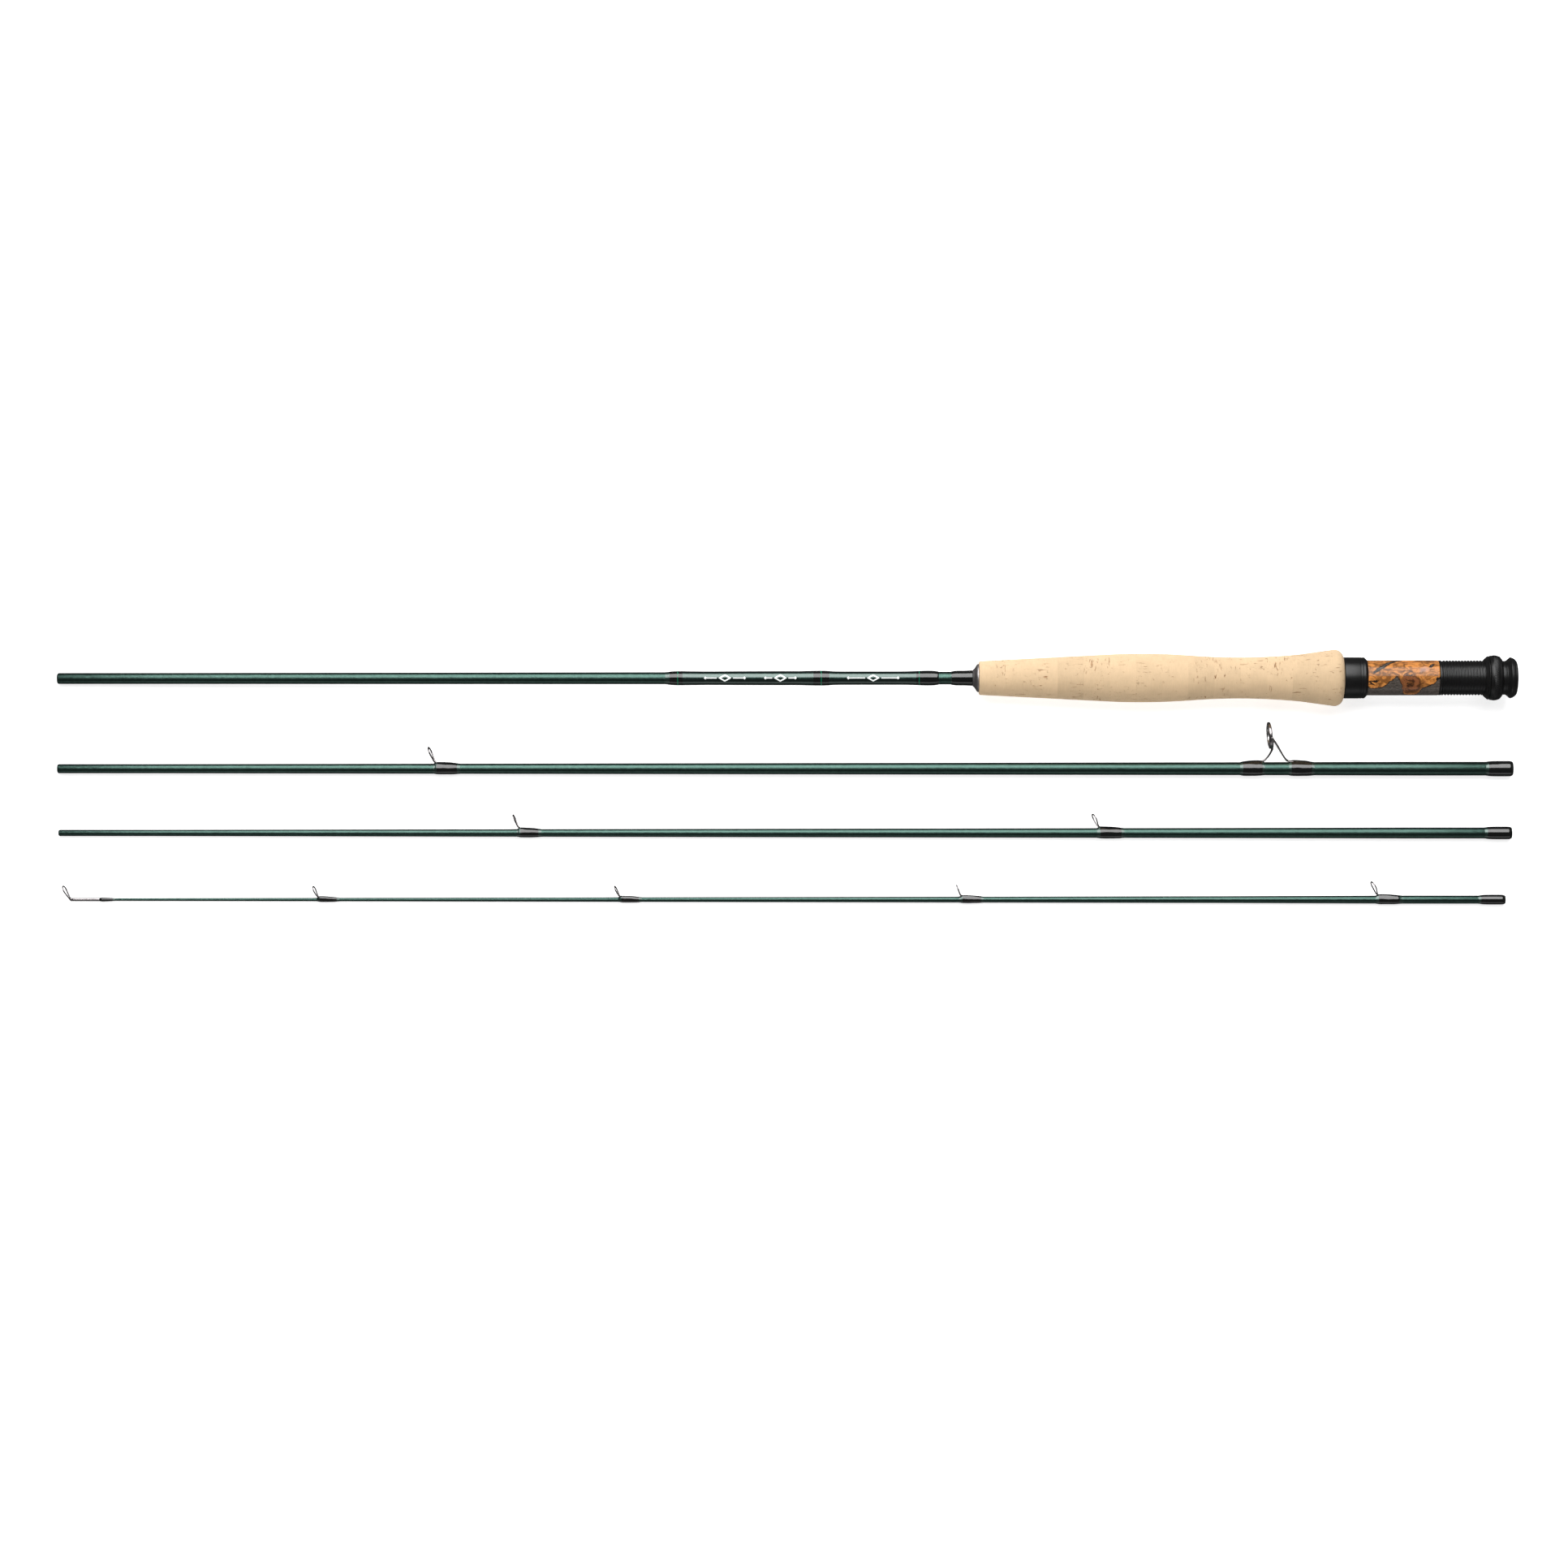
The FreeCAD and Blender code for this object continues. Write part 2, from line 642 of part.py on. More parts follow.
def wrap_with_groove(name, start, length, bores, radius, trim_x):
    """A wrap whose outside has a shallow groove, filled by its trim band."""
    end = "(%s + %s)" % (start, length)
    low, high = ["(%s + glue_gap)" % bore for bore in bores]
    bottom = "(%s - trim_depth)" % radius
    after = "(%s + trim_band_width)" % trim_x
    corners = [(start, low), (start, "(%s + wrap_lip)" % low),
               ("(%s + wrap_run_out)" % start, radius),
               (trim_x, radius), (trim_x, bottom), (after, bottom), (after, radius),
               ("(%s - wrap_run_out)" % end, radius),
               (end, "(%s + wrap_lip)" % high), (end, high)]
    return turned(name, corners)


def ferrule_wrap(section):
    start = FERRULE_WRAP_START[section]
    socket = SOCKET_RADIUS[section]
    wrap(section + "_ferrule_wrap", start, "(ferrule_wrap_length - ferrule_wrap_back)",
         [socket, socket],
         "(%s + ferrule_wrap_thickness)" % socket, section)


# ---------------------------------------------------------------- grip and reel seat


def cork_grip():
    """The grip's whole outline, then one ring of it for each slice between two seams."""
    front = "(%s + cork_front_round)" % GRIP_START
    bore_front = "(%s + glue_gap)" % inside_grip(GRIP_START)
    bore_rear = "(%s + glue_gap)" % inside_grip(CORK_END)
    outline = [
        (GRIP_START, bore_front),
        (GRIP_START, "cork_front_radius", "cork_front_round"),
        (front, "(cork_front_radius + cork_front_round)"),
        ("(%s + cork_shoulder_share * grip_length)" % GRIP_START, "cork_shoulder_radius",
         "cork_swell_arc"),
        ("(%s + cork_swell_end_share * grip_length)" % GRIP_START, "cork_swell_end_radius",
         "-cork_waist_arc"),
        ("(%s - cork_waist_end_back)" % CORK_END, "cork_waist_end_radius"),
        ("(%s - cork_rear_arc * sin(cork_flare_slope))" % FLARE_X,
         "(cork_flare_radius - cork_rear_arc * (1 - cos(cork_flare_slope)))", "cork_rear_arc"),
        (CORK_END, "cork_rear_radius"),
        (CORK_END, bore_rear)]
    form = turned("grip_form", outline)
    pitch = "(grip_length / cork_ring_count)"
    for i in range(int(DIMENSIONS["cork_ring_count"])):
        name = "cork_ring_%02d" % (i + 1)
        slab = rod(name + "_slice", "(%s + %d * %s)" % (GRIP_START, i, pitch), pitch,
                   "cork_flare_radius * 1.5")
        ring = doc.addObject("Part::Common", name)
        ring.Base = form
        ring.Tool = slab
        node(ring, name, "butt")


def winding_check():
    """Flared metal collar that closes the front of the cork."""
    bore_front = "(%s + glue_gap)" % radius_at("butt", CHECK_START)
    bore_rear = "(%s + glue_gap)" % radius_at("butt", GRIP_START)
    corners = [(CHECK_START, bore_front), (CHECK_START, "check_front_radius"),
               ("(%s + check_lip_length)" % CHECK_START, "(check_front_radius + check_lip_rise)",
                "-check_flare_arc"),
               ("(%s - check_rim_length)" % GRIP_START, "(check_rear_radius - check_rim_taper)"),
               (GRIP_FACE, "check_rear_radius"), (GRIP_FACE, bore_rear)]
    node(turned("winding_check", corners), "winding_check", "butt")


def front_hood():
    """Fixed hood behind the cork. Its underside has the pocket for the reel foot's front end."""
    shell = turned("front_hood_shell", [
        (CORK_END, INSERT_RADIUS), (CORK_END, "(%s - hood_chamfer)" % HOOD_RADIUS),
        ("(%s + hood_chamfer)" % CORK_END, HOOD_RADIUS),
        ("(%s - hood_bevel_length)" % HOOD_END, HOOD_RADIUS),
        (HOOD_END, "(%s - hood_bevel_depth)" % HOOD_RADIUS), (HOOD_END, INSERT_RADIUS)])
    depth = "(foot_pocket_depth + foot_pocket_solid)"
    pad = block("front_hood_pad", "(%s - %s)" % (HOOD_END, depth), depth,
                "(foot_pocket_width + 2 * foot_pocket_wall)",
                "(%s - foot_pocket_wall)" % POCKET_FLOOR, POCKET_ROOT)
    pocket = block("front_hood_pocket", "(%s - foot_pocket_depth)" % HOOD_END,
                   "(foot_pocket_depth + %s)" % OVERSHOOT, "foot_pocket_width",
                   POCKET_FLOOR, POCKET_ROOT)
    bore = rod("front_hood_bore", "(%s - %s)" % (CORK_END, OVERSHOOT),
               "(hood_length + 2 * %s)" % OVERSHOOT, "(%s + glue_gap)" % INSERT_RADIUS)
    body = joined("front_hood_solid", shell, pad)
    node(cut("front_hood", body, joined("front_hood_hollow", pocket, bore)),
         "front_hood", "butt")


def seat_insert():
    """Burl wood sleeve between the hoods, with a spigot that enters the threaded barrel."""
    end = "(%s + spigot_length)" % INSERT_END
    start = "(%s + glue_gap)" % CORK_END
    shoulder = "(%s - glue_gap)" % INSERT_END
    spigot = "(%s - spigot_clearance)" % BARREL_BORE
    corners = [(start, INSERT_BORE), (start, INSERT_RADIUS),
               (shoulder, INSERT_RADIUS), (shoulder, spigot), (end, spigot), (end, INSERT_BORE)]
    node(turned("seat_insert", corners), "seat_insert", "butt")


def seat_arbors():
    """Bushings that centre the reel seat on the blank."""
    rings = []
    for i in range(DIMENSIONS["arbor_count"]):
        start = "(%s + arbor_first_x + %d * arbor_spacing)" % (CORK_END, i)
        end = "(%s + arbor_length)" % start
        outer = "(%s - glue_gap)" % INSERT_BORE
        rings.append(turned("seat_arbor_%d" % (i + 1), [
            (start, "(%s + glue_gap)" % inside_grip(start)), (start, outer),
            (end, outer), (end, "(%s + glue_gap)" % inside_grip(end))]))
    node(group("seat_arbors", rings), "seat_arbors", "butt")


def seat_barrel():
    """Threaded barrel: a turned tube, a plain neck behind it, and a helical thread."""
    neck = "(%s - neck_length)" % BARREL_END
    body = turned("seat_barrel", [
        (INSERT_END, BARREL_BORE), (INSERT_END, "(barrel_radius - barrel_chamfer)"),
        ("(%s + barrel_chamfer)" % INSERT_END, "barrel_radius"), (neck, "barrel_radius"),
        (neck, NECK_RADIUS), (BARREL_END, NECK_RADIUS), (BARREL_END, BARREL_BORE)])
    doc.recompute()
    plain_volume = body.Shape.Volume
    sketch = body.newObject("Sketcher::SketchObject", "seat_barrel_groove")
    sketch.AttachmentSupport = [(origin_plane(body, "XZ_Plane"), "")]
    sketch.MapMode = "FlatFace"
    middle = "(%s + barrel_plain + thread_pitch / 2)" % INSERT_END
    top = "(barrel_radius + 0.1)"
    bottom = "(barrel_radius - thread_depth)"
    draw_outline(sketch, [("(%s - thread_pitch * thread_mouth_share)" % middle, top),
                          ("(%s + thread_pitch * thread_mouth_share)" % middle, top),
                          ("(%s + thread_pitch * thread_root_share)" % middle, bottom),
                          ("(%s - thread_pitch * thread_root_share)" % middle, bottom)])
    helix = body.newObject("PartDesign::SubtractiveHelix", "seat_barrel_thread")
    helix.Profile = sketch
    helix.ReferenceAxis = (sketch, ["H_Axis"])
    helix.Mode = "pitch-height-angle"
    bind(helix, "Pitch", "thread_pitch")
    bind(helix, "Height", "(barrel_length - neck_length - barrel_plain - 2 * thread_pitch)")
    doc.recompute()
    if body.Shape.Volume > plain_volume * 0.97:
        raise RuntimeError("the barrel's thread cut nothing")
    node(body, "seat_barrel", "butt")


def butt_cap():
    """End cap: a plug inside the barrel, a flared flange and a domed end."""
    start = "(%s - cap_plug_length)" % BARREL_END
    flange = "(%s + cap_flange_x)" % BARREL_END
    face = "(%s + cap_face_gap)" % BARREL_END
    web = "(butt_length - cap_web)"
    plug = "(%s - cap_plug_clearance)" % BARREL_BORE
    corners = [(start, CAP_BORE), (start, plug),
               (face, plug), (face, "(%s + cap_front_rise)" % NECK_RADIUS),
               (flange, CAP_FLANGE, "cap_dome_arc"),
               ("butt_length", "(%s - cap_dome_drop)" % CAP_FLANGE), ("butt_length", "0"),
               (web, "0"), (web, CAP_BORE)]
    node(turned("butt_cap", corners), "butt_cap", "butt")


def sliding_hood():
    """Hood that the lock nut pushes along the barrel against the reel foot."""
    end = "(%s + sliding_hood_length)" % SLIDING_HOOD_START
    cone = turned("sliding_hood_cone", [
        (SLIDING_HOOD_START, HOOD_BORE),
        (SLIDING_HOOD_START, "(%s + sliding_hood_front_wall)" % HOOD_BORE),
        (end, "(%s + sliding_hood_rear_wall)" % HOOD_BORE), (end, HOOD_BORE)])
    front = "(%s - sliding_pocket_front)" % SLIDING_HOOD_START
    pad = block("sliding_hood_pad", front, "(sliding_pocket_front + sliding_hood_length)",
                "(foot_pocket_width + 2 * foot_pocket_wall)",
                "(%s - foot_pocket_wall)" % POCKET_FLOOR, POCKET_ROOT)
    pocket = block("sliding_hood_pocket", "(%s - %s)" % (front, OVERSHOOT),
                   "(sliding_pocket_depth + %s)" % OVERSHOOT, "foot_pocket_width",
                   POCKET_FLOOR, POCKET_ROOT)
    hole = rod("sliding_hood_bore", "(%s - %s)" % (front, OVERSHOOT),
               "(sliding_pocket_front + sliding_hood_length + 2 * %s)" % OVERSHOOT, HOOD_BORE)
    body = joined("sliding_hood_solid", cone, pad)
    node(cut("sliding_hood", body, joined("sliding_hood_hollow", pocket, hole)),
         "sliding_hood", "butt")


def lock_nut():
    """Crowned nut that runs along the barrel's thread."""
    end = "(%s + nut_length)" % NUT_START
    front, crown, rear_crown, rear = [
        "(%s + nut_%s_wall)" % (HOOD_BORE, word)
        for word in ("front", "crown", "rear_crown", "rear")]
    corners = [(NUT_START, HOOD_BORE), (NUT_START, front),
               ("(%s + nut_bevel)" % NUT_START, crown, "nut_crown_arc"),
               ("(%s - nut_rear_bevel)" % end, rear_crown), (end, rear), (end, HOOD_BORE)]
    node(turned("lock_nut", corners), "lock_nut", "butt")


# ---------------------------------------------------------------- guides


def foot_shape(name, heel, toe, seat, width, height, toe_height):
    """A guide foot: a flat strip lying on the blank from heel to toe, thinner at its toe."""
    body = doc.addObject("PartDesign::Body", name)
    sketch = body.newObject("Sketcher::SketchObject", name + "_side")
    sketch.AttachmentSupport = [(origin_plane(body, "XZ_Plane"), "")]
    sketch.MapMode = "FlatFace"
    sunk = "(%s - foot_sink)" % seat
    draw_outline(sketch, [(heel, sunk), (heel, "(%s + %s)" % (seat, height)),
                          (toe, "(%s + %s)" % (seat, toe_height)), (toe, sunk)])
    pad = body.newObject("PartDesign::Pad", name + "_pad")
    pad.Profile = sketch
    pad.Midplane = True
    bind(pad, "Length", width)
    return body


def foot_wrap(name, start, length, bore, thickness, foot_top, foot_width, foot, section):
    """Thread wrap over a guide foot: round on the blank, and raised in a ridge over the foot."""
    tube = rod(name + "_tube", start, length, "(%s + %s)" % (bore, thickness))
    ridge = rod(name + "_ridge", start, length, "(%s / 2 + %s)" % (foot_width, thickness),
                0, "(%s - %s / 2)" % (foot_top, foot_width))
    blank = rod(name + "_bore", "(%s - %s)" % (start, OVERSHOOT),
                "(%s + 2 * %s)" % (length, OVERSHOOT), "(%s + glue_gap)" % bore)
    solid = joined(name + "_solid", tube, ridge)
    node(cut(name, solid, joined(name + "_hollow", blank, foot)), name, section)


def wire_guide(name):
    """Single-foot guide: one wire bent into a pear-shaped loop that leans towards the tip,
    its ends flattened into the foot under the wrap."""
    section = WIRE_GUIDES[name][0]
    x, length, height, lean, loop = [name + "_" + word for word in GUIDE_VALUES]
    wire = "first_wire_radius" if section == "lower_mid" else "wire_radius"
    seat = radius_at(section, "(%s + %s / 2)" % (x, length))
    toe = "(%s + %s)" % (x, length)
    loop_wire = pear_loop(name, x, "(%s + loop_foot_rise)" % seat, height, lean, loop, wire)
    foot = foot_shape(name + "_foot", "(%s - foot_heel)" % x, "(%s - foot_extra)" % toe, seat,
                      "foot_width", "foot_height", "foot_toe_height")
    hollow = rod(name + "_blank_space", "(%s - %s)" % (x, length), "(3 * %s)" % length,
                 "(%s + glue_gap)" % radius_at(section, toe))
    node(cut(name, joined(name + "_wire", foot, loop_wire), hollow), name, section)
    foot_wrap(name + "_wrap", "(%s + guide_wrap_back)" % x, "(%s - guide_wrap_back)" % length,
              radius_at(section, toe), "wrap_thickness",
              "(%s + foot_height)" % seat, "foot_width",
              foot_tool(name, x, toe, seat), section)


def foot_tool(name, x, toe, seat):
    """The space that a guide foot takes inside its wrap."""
    return foot_shape(name + "_foot_space", "(%s - 2 * foot_heel)" % x,
                      "(%s - foot_extra + foot_space)" % toe, seat,
                      "(foot_width + 2 * foot_space)", "(foot_height + 2 * foot_space)",
                      "(foot_toe_height + foot_space)")


def pear_loop(name, x, base, height, lean, loop, wire):
    """A round wire bent into a pear-shaped loop: two straight legs that stand side by side
    at the bottom, and an arc that they run into without a kink."""
    centre = "(%s - %s - %s)" % (height, loop, wire)
    foot_y = "(%s * loop_foot_spread)" % wire
    span = "sqrt({0} * {0} + {1} * {1})".format(centre, foot_y)
    spread = "(asin({0} / {1}) - atan({2} / {3}))".format(loop, span, foot_y, centre)
    leg = "sqrt({0} * {0} - {1} * {1})".format(span, loop)
    side = "({0} + {1} * sin({2}))".format(foot_y, leg, spread)
    rise = "({0} * cos({1}))".format(leg, spread)
    body = doc.addObject("PartDesign::Body", name + "_loop")
    path = body.newObject("Sketcher::SketchObject", name + "_loop_path")
    path.AttachmentSupport = [(origin_plane(body, "YZ_Plane"), "")]
    path.MapMode = "FlatFace"
    right_foot = V(number(foot_y), 0, 0)
    right_top = V(number(side), number(rise), 0)
    left_top = V(-right_top.x, right_top.y, 0)
    left_foot = V(-right_foot.x, 0, 0)
    crest = V(0, number("(%s + %s)" % (centre, loop)), 0)
    path.addGeometry(Part.LineSegment(right_foot, right_top), False)
    path.addGeometry(Part.Arc(right_top, crest, left_top), False)
    path.addGeometry(Part.LineSegment(left_top, left_foot), False)
    path.addConstraint(Sketcher.Constraint("Coincident", 0, 2, 1, 1))
    path.addConstraint(Sketcher.Constraint("Coincident", 1, 2, 2, 1))
    places = ((0, 1, foot_y, "0"), (0, 2, side, rise),
              (2, 1, "(0 - %s)" % side, rise), (2, 2, "(0 - %s)" % foot_y, "0"))
    for edge, end, across, up in places:
        for kind, expression in (("DistanceX", across), ("DistanceY", up)):
            index = path.addConstraint(
                Sketcher.Constraint(kind, -1, 1, edge, end, number(expression)))
            bind(path, "Constraints[%d]" % index, expression)
    index = path.addConstraint(Sketcher.Constraint("Radius", 1, number(loop)))
    bind(path, "Constraints[%d]" % index, loop)
    doc.recompute()
    section = body.newObject("Sketcher::SketchObject", name + "_loop_section")
    section.AttachmentSupport = [(path, "Edge1")]
    section.MapMode = "NormalToEdge"
    section.MapPathParameter = 0
    section.addGeometry(Part.Circle(V(0, 0, 0), V(0, 0, 1), number(wire)), False)
    section.addConstraint(Sketcher.Constraint("Coincident", 0, 3, -1, 1))
    index = section.addConstraint(Sketcher.Constraint("Radius", 0, number(wire)))
    bind(section, "Constraints[%d]" % index, wire)
    pipe = body.newObject("PartDesign::AdditivePipe", name + "_loop_wire")
    pipe.Profile = section
    pipe.Spine = (path, ["Edge1", "Edge2", "Edge3"])
    bind(body, "Placement", at(x, 0, base, 0, "-" + lean, 0))
    return body


def stripping_guide():
    """The largest guide: a frame on three legs and two feet, and a polished ring pressed in."""
    lean = "strip_lean"
    tilt = at("strip_x", 0, "strip_lift", 0, "-" + lean, 0)
    front_toe, front_heel, rear_heel, rear_toe = STRIP_PLACES.values()
    seat_front = radius_at("lower_mid", front_heel)
    seat_rear = radius_at("lower_mid", rear_toe)
    face = "strip_ring_width / 2"
    lip = "(%s + strip_ring_lip)" % STRIP_BORE
    edge = "(strip_ring_radius - strip_ring_edge)"
    ring = turned("stripping_guide_ring", [
        ("(strip_ring_lip - %s)" % face, "strip_ring_radius"), ("(0 - %s)" % face, edge),
        ("(0 - %s)" % face, lip), ("(strip_ring_lip - %s)" % face, STRIP_BORE),
        ("(%s - strip_ring_lip)" % face, STRIP_BORE), ("(%s)" % face, lip),
        ("(%s)" % face, edge), ("(%s - strip_ring_lip)" % face, "strip_ring_radius")])
    node(ring, "stripping_guide_ring", "lower_mid")
    bind(ring, "Placement", "lower_mid_lie.Placement * " + tilt)
    hoop = turned("stripping_hoop", [
        ("(0 - strip_frame_width / 2)", STRIP_HOLE), ("(0 - strip_frame_width / 2)", STRIP_FRAME),
        ("(strip_frame_width / 2)", STRIP_FRAME), ("(strip_frame_width / 2)", STRIP_HOLE)])
    bind(hoop, "Placement", tilt)
    hang = "(%s - strip_leg_radius / 2)" % STRIP_FRAME
    bottom = ("(strip_x + %s * sin(%s))" % (hang, lean), "0",
              "(strip_lift - %s * cos(%s))" % (hang, lean))
    leg_radius = "strip_leg_radius"
    legs = [strut("strip_front_leg", bottom,
                  (front_heel, "0", "(%s + strip_leg_sink)" % seat_front), leg_radius)]
    for side, sign in (("near", "-"), ("far", "")):
        shoulder = ("(strip_x + strip_shoulder_back)",
                    "%s(%s - strip_leg_radius)" % (sign, STRIP_FRAME),
                    "(strip_lift - strip_shoulder_drop)")
        ankle = (rear_heel, "%sstrip_ankle_spread" % sign, "(%s + strip_leg_sink)" % seat_rear)
        legs.append(strut("strip_%s_leg" % side, shoulder, ankle, leg_radius))
    feet = []
    spaces = []
    for word, heel, toe, seat in (
            ("front", "(%s + strip_foot_tuck)" % front_heel, front_toe, seat_front),
            ("rear", "(%s - strip_foot_tuck)" % rear_heel, rear_toe, seat_rear)):
        feet.append(foot_shape("strip_%s_foot" % word, heel, toe, seat,
                               "strip_foot_width", "strip_foot_height",
                               "strip_foot_toe_height"))
        spaces.append(foot_shape("strip_%s_space" % word, heel, toe, seat,
                                 "(strip_foot_width + 2 * foot_space)",
                                 "(strip_foot_height + 2 * foot_space)",
                                 "(strip_foot_toe_height + 2 * foot_space)"))
    blank = rod("strip_blank_space", "(%s - strip_foot_width)" % front_toe,
                "(strip_rear_toe_at + strip_front_toe_at + 2 * strip_foot_width)",
                "(%s + glue_gap)" % seat_rear)
    reach = "(2 * strip_ring_width)"
    hole = rod("strip_hoop_space", "(0 - %s)" % reach, "(2 * %s)" % reach, STRIP_HOLE)
    bind(hole, "Placement", "%s * %s" % (tilt, at("(0 - %s)" % reach, 0, 0, 0, 90, 0)))
    frame = joined("strip_frame_solid", hoop, *legs, *feet)
    node(cut("stripping_guide_frame", frame, joined("strip_frame_hollow", blank, hole)),
         "stripping_guide_frame", "lower_mid")
    for word, start, end, seat, space in (
            ("front", "(%s - strip_wrap_over)" % front_toe,
             "(%s - strip_wrap_back)" % front_heel, seat_front, spaces[0]),
            ("rear", "(%s + strip_wrap_back)" % rear_heel,
             "(%s + strip_wrap_over)" % rear_toe, seat_rear, spaces[1])):
        bore = radius_at("lower_mid", end)
        foot_wrap("stripping_%s_wrap" % word, start, "(%s - %s)" % (end, start), bore,
                  "strip_wrap_thickness", "(%s + strip_foot_height)" % seat,
                  "strip_foot_width", space, "lower_mid")


def tip_top():
    """Tube over the tip's end with a pear-shaped loop soldered to it, and the wrap behind."""
    tube_end = "(%s + tip_tube_length)" % TUBE_START
    bore = "(%s + glue_gap)" % radius_at("tip", tube_end)
    tube = turned("tip_top_tube", [
        (TUBE_START, "0"), (TUBE_START, "(tip_tube_radius * 0.6)"),
        ("0", "tip_tube_radius"), (tube_end, "tip_tube_radius"), (tube_end, bore),
        ("-tip_top_wall", bore), ("-tip_top_wall", "0")])
    node(tube, "tip_top_tube", "tip")
    loop = pear_loop("tip_top", "(%s - tip_top_nose)" % TUBE_START, "(0 - tip_tube_radius * 0.6)",
                     "tip_top_height", "tip_top_lean", "tip_top_loop", "wire_radius")
    solder = doc.addObject("Part::Sphere", "tip_top_solder")
    bind(solder, "Radius", "(tip_tube_radius * tip_top_solder)")
    bind(solder, "Placement", at("(%s - 1.5 * tip_top_nose)" % TUBE_START, 0, 0))
    nose = rod("tip_top_tube_space", "(%s - tip_top_wall / 2)" % TUBE_START, "tip_top_wrap_length",
               "(tip_tube_radius + glue_gap)")
    node(cut("tip_top_ring", joined("tip_top_wire", loop, solder), nose),
         "tip_top_ring", "tip")
    start = "(%s + tip_top_wrap_gap)" % tube_end
    wrap("tip_top_wrap", start, "tip_top_wrap_length",
         [radius_at("tip", start), radius_at("tip", "%s + tip_top_wrap_length" % start)],
         "tip_top_wrap_radius", "tip")


# ---------------------------------------------------------------- build and write

write_sheet()
LIES = lay_out_sections()

butt_blank()
butt_wraps()
winding_check()
cork_grip()
front_hood()
seat_insert()
seat_arbors()
seat_barrel()
butt_cap()
sliding_hood()
lock_nut()

mid_blank("lower_mid")
ferrule_wrap("lower_mid")
stripping_guide()
mid_blank("upper_mid")
ferrule_wrap("upper_mid")
tip_blank()
ferrule_wrap("tip")
for guide_name in WIRE_GUIDES:
    wire_guide(guide_name)
tip_top()

doc.recompute()
for thing in doc.Objects:
    if "Invalid" in thing.State or "Error" in thing.State:
        raise RuntimeError("%s failed: %s" % (thing.Label, thing.State))
for piece in nodes:
    if piece.Shape.isNull() or not piece.Shape.isValid():
        raise RuntimeError("%s has no valid shape" % piece.Label)

os.makedirs("parts", exist_ok=True)
for piece in nodes:
    piece.Shape.exportStep("parts/%s.step" % piece.Label)
print("%d parts written" % len(nodes))
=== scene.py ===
"""A four-piece fly rod, taken apart and laid out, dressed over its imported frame.

Every piece is modelled in its own section's frame, in millimetres: x runs along the section
from its tip-side end, z points to the side that carries the guides. The finished mesh is then
laid where the section lies."""

import json
import math

import bmesh
import bpy
from mathutils import Matrix, Vector, noise


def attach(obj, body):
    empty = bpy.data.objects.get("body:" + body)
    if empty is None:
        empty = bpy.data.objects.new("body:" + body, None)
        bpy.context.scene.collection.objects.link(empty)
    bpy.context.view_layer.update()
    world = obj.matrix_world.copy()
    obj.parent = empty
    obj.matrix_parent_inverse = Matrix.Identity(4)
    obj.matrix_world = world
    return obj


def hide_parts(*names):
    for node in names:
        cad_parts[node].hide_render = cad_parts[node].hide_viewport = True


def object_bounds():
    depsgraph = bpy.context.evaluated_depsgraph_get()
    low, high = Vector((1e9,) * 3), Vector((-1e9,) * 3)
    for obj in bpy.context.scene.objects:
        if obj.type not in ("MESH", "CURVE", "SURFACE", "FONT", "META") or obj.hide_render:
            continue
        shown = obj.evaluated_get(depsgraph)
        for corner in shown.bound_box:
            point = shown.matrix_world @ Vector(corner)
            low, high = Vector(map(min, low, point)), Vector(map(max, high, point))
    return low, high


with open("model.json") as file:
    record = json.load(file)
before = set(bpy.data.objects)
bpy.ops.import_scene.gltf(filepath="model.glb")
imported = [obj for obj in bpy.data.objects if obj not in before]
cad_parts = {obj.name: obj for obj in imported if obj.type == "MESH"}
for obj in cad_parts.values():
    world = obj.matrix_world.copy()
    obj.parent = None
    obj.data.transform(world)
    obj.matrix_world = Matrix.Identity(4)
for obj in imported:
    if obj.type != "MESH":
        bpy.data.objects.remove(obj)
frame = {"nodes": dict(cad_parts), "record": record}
CAD_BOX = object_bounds()

bl_info = {
    "name": "Fly Rod",
    "version": (1, 0, 0),
    "blender": (4, 5, 0),
    "location": "3D View > Sidebar > Fly Rod",
    "description": "Builds a four-piece fly rod, its finishes and its studio",
    "category": "Object",
}

# A millimetre in metres, the gap under a wrap, and how far a guide starts ahead of its wrap.
MM = 0.001
BORE_GAP = 0.004
WIRE_LEAD = 0.6
ROUND = 48


def paint(red, green, blue):
    """A colour picked on a screen, 0 to 255, as the linear colour that a shader takes."""
    linear = []
    for level in (red, green, blue):
        level /= 255
        linear.append(level / 12.92 if level <= 0.04045 else ((level + 0.055) / 1.055) ** 2.4)
    return tuple(linear)


# ---------------------------------------------------------------- sizes and colours


def length(name, description, default):
    return bpy.props.FloatProperty(name=name, description=description, default=default, min=0.0,
                                   unit="LENGTH", precision=5)


def colour(name, description, default):
    return bpy.props.FloatVectorProperty(name=name, description=description, default=default,
                                         size=3, min=0.0, max=1.0, subtype="COLOR")


class RodSizes(bpy.types.PropertyGroup):
    """Sizes of the visible detail that the frame doesn't hold."""

    thread: length("Wrap thread", "Thickness of the thread in the wraps", 0.00014)
    flake: length("Metal flake", "Size of a flake in the lacquer", 0.00022)
    pit: length("Cork pit", "Depth of the darkest pits in the cork", 0.00022)
    screw_pitch: length("Screw pitch", "Pitch of the barrel's thread", 0.0015)
    screw_depth: length("Screw depth", "Depth of the barrel's thread", 0.00036)
    knurl_depth: length("Knurl depth", "Depth of the lock nut's knurl", 0.00018)
    knurl_teeth: bpy.props.IntProperty(
        name="Knurl teeth", description="Grooves around the lock nut", default=88, min=12)


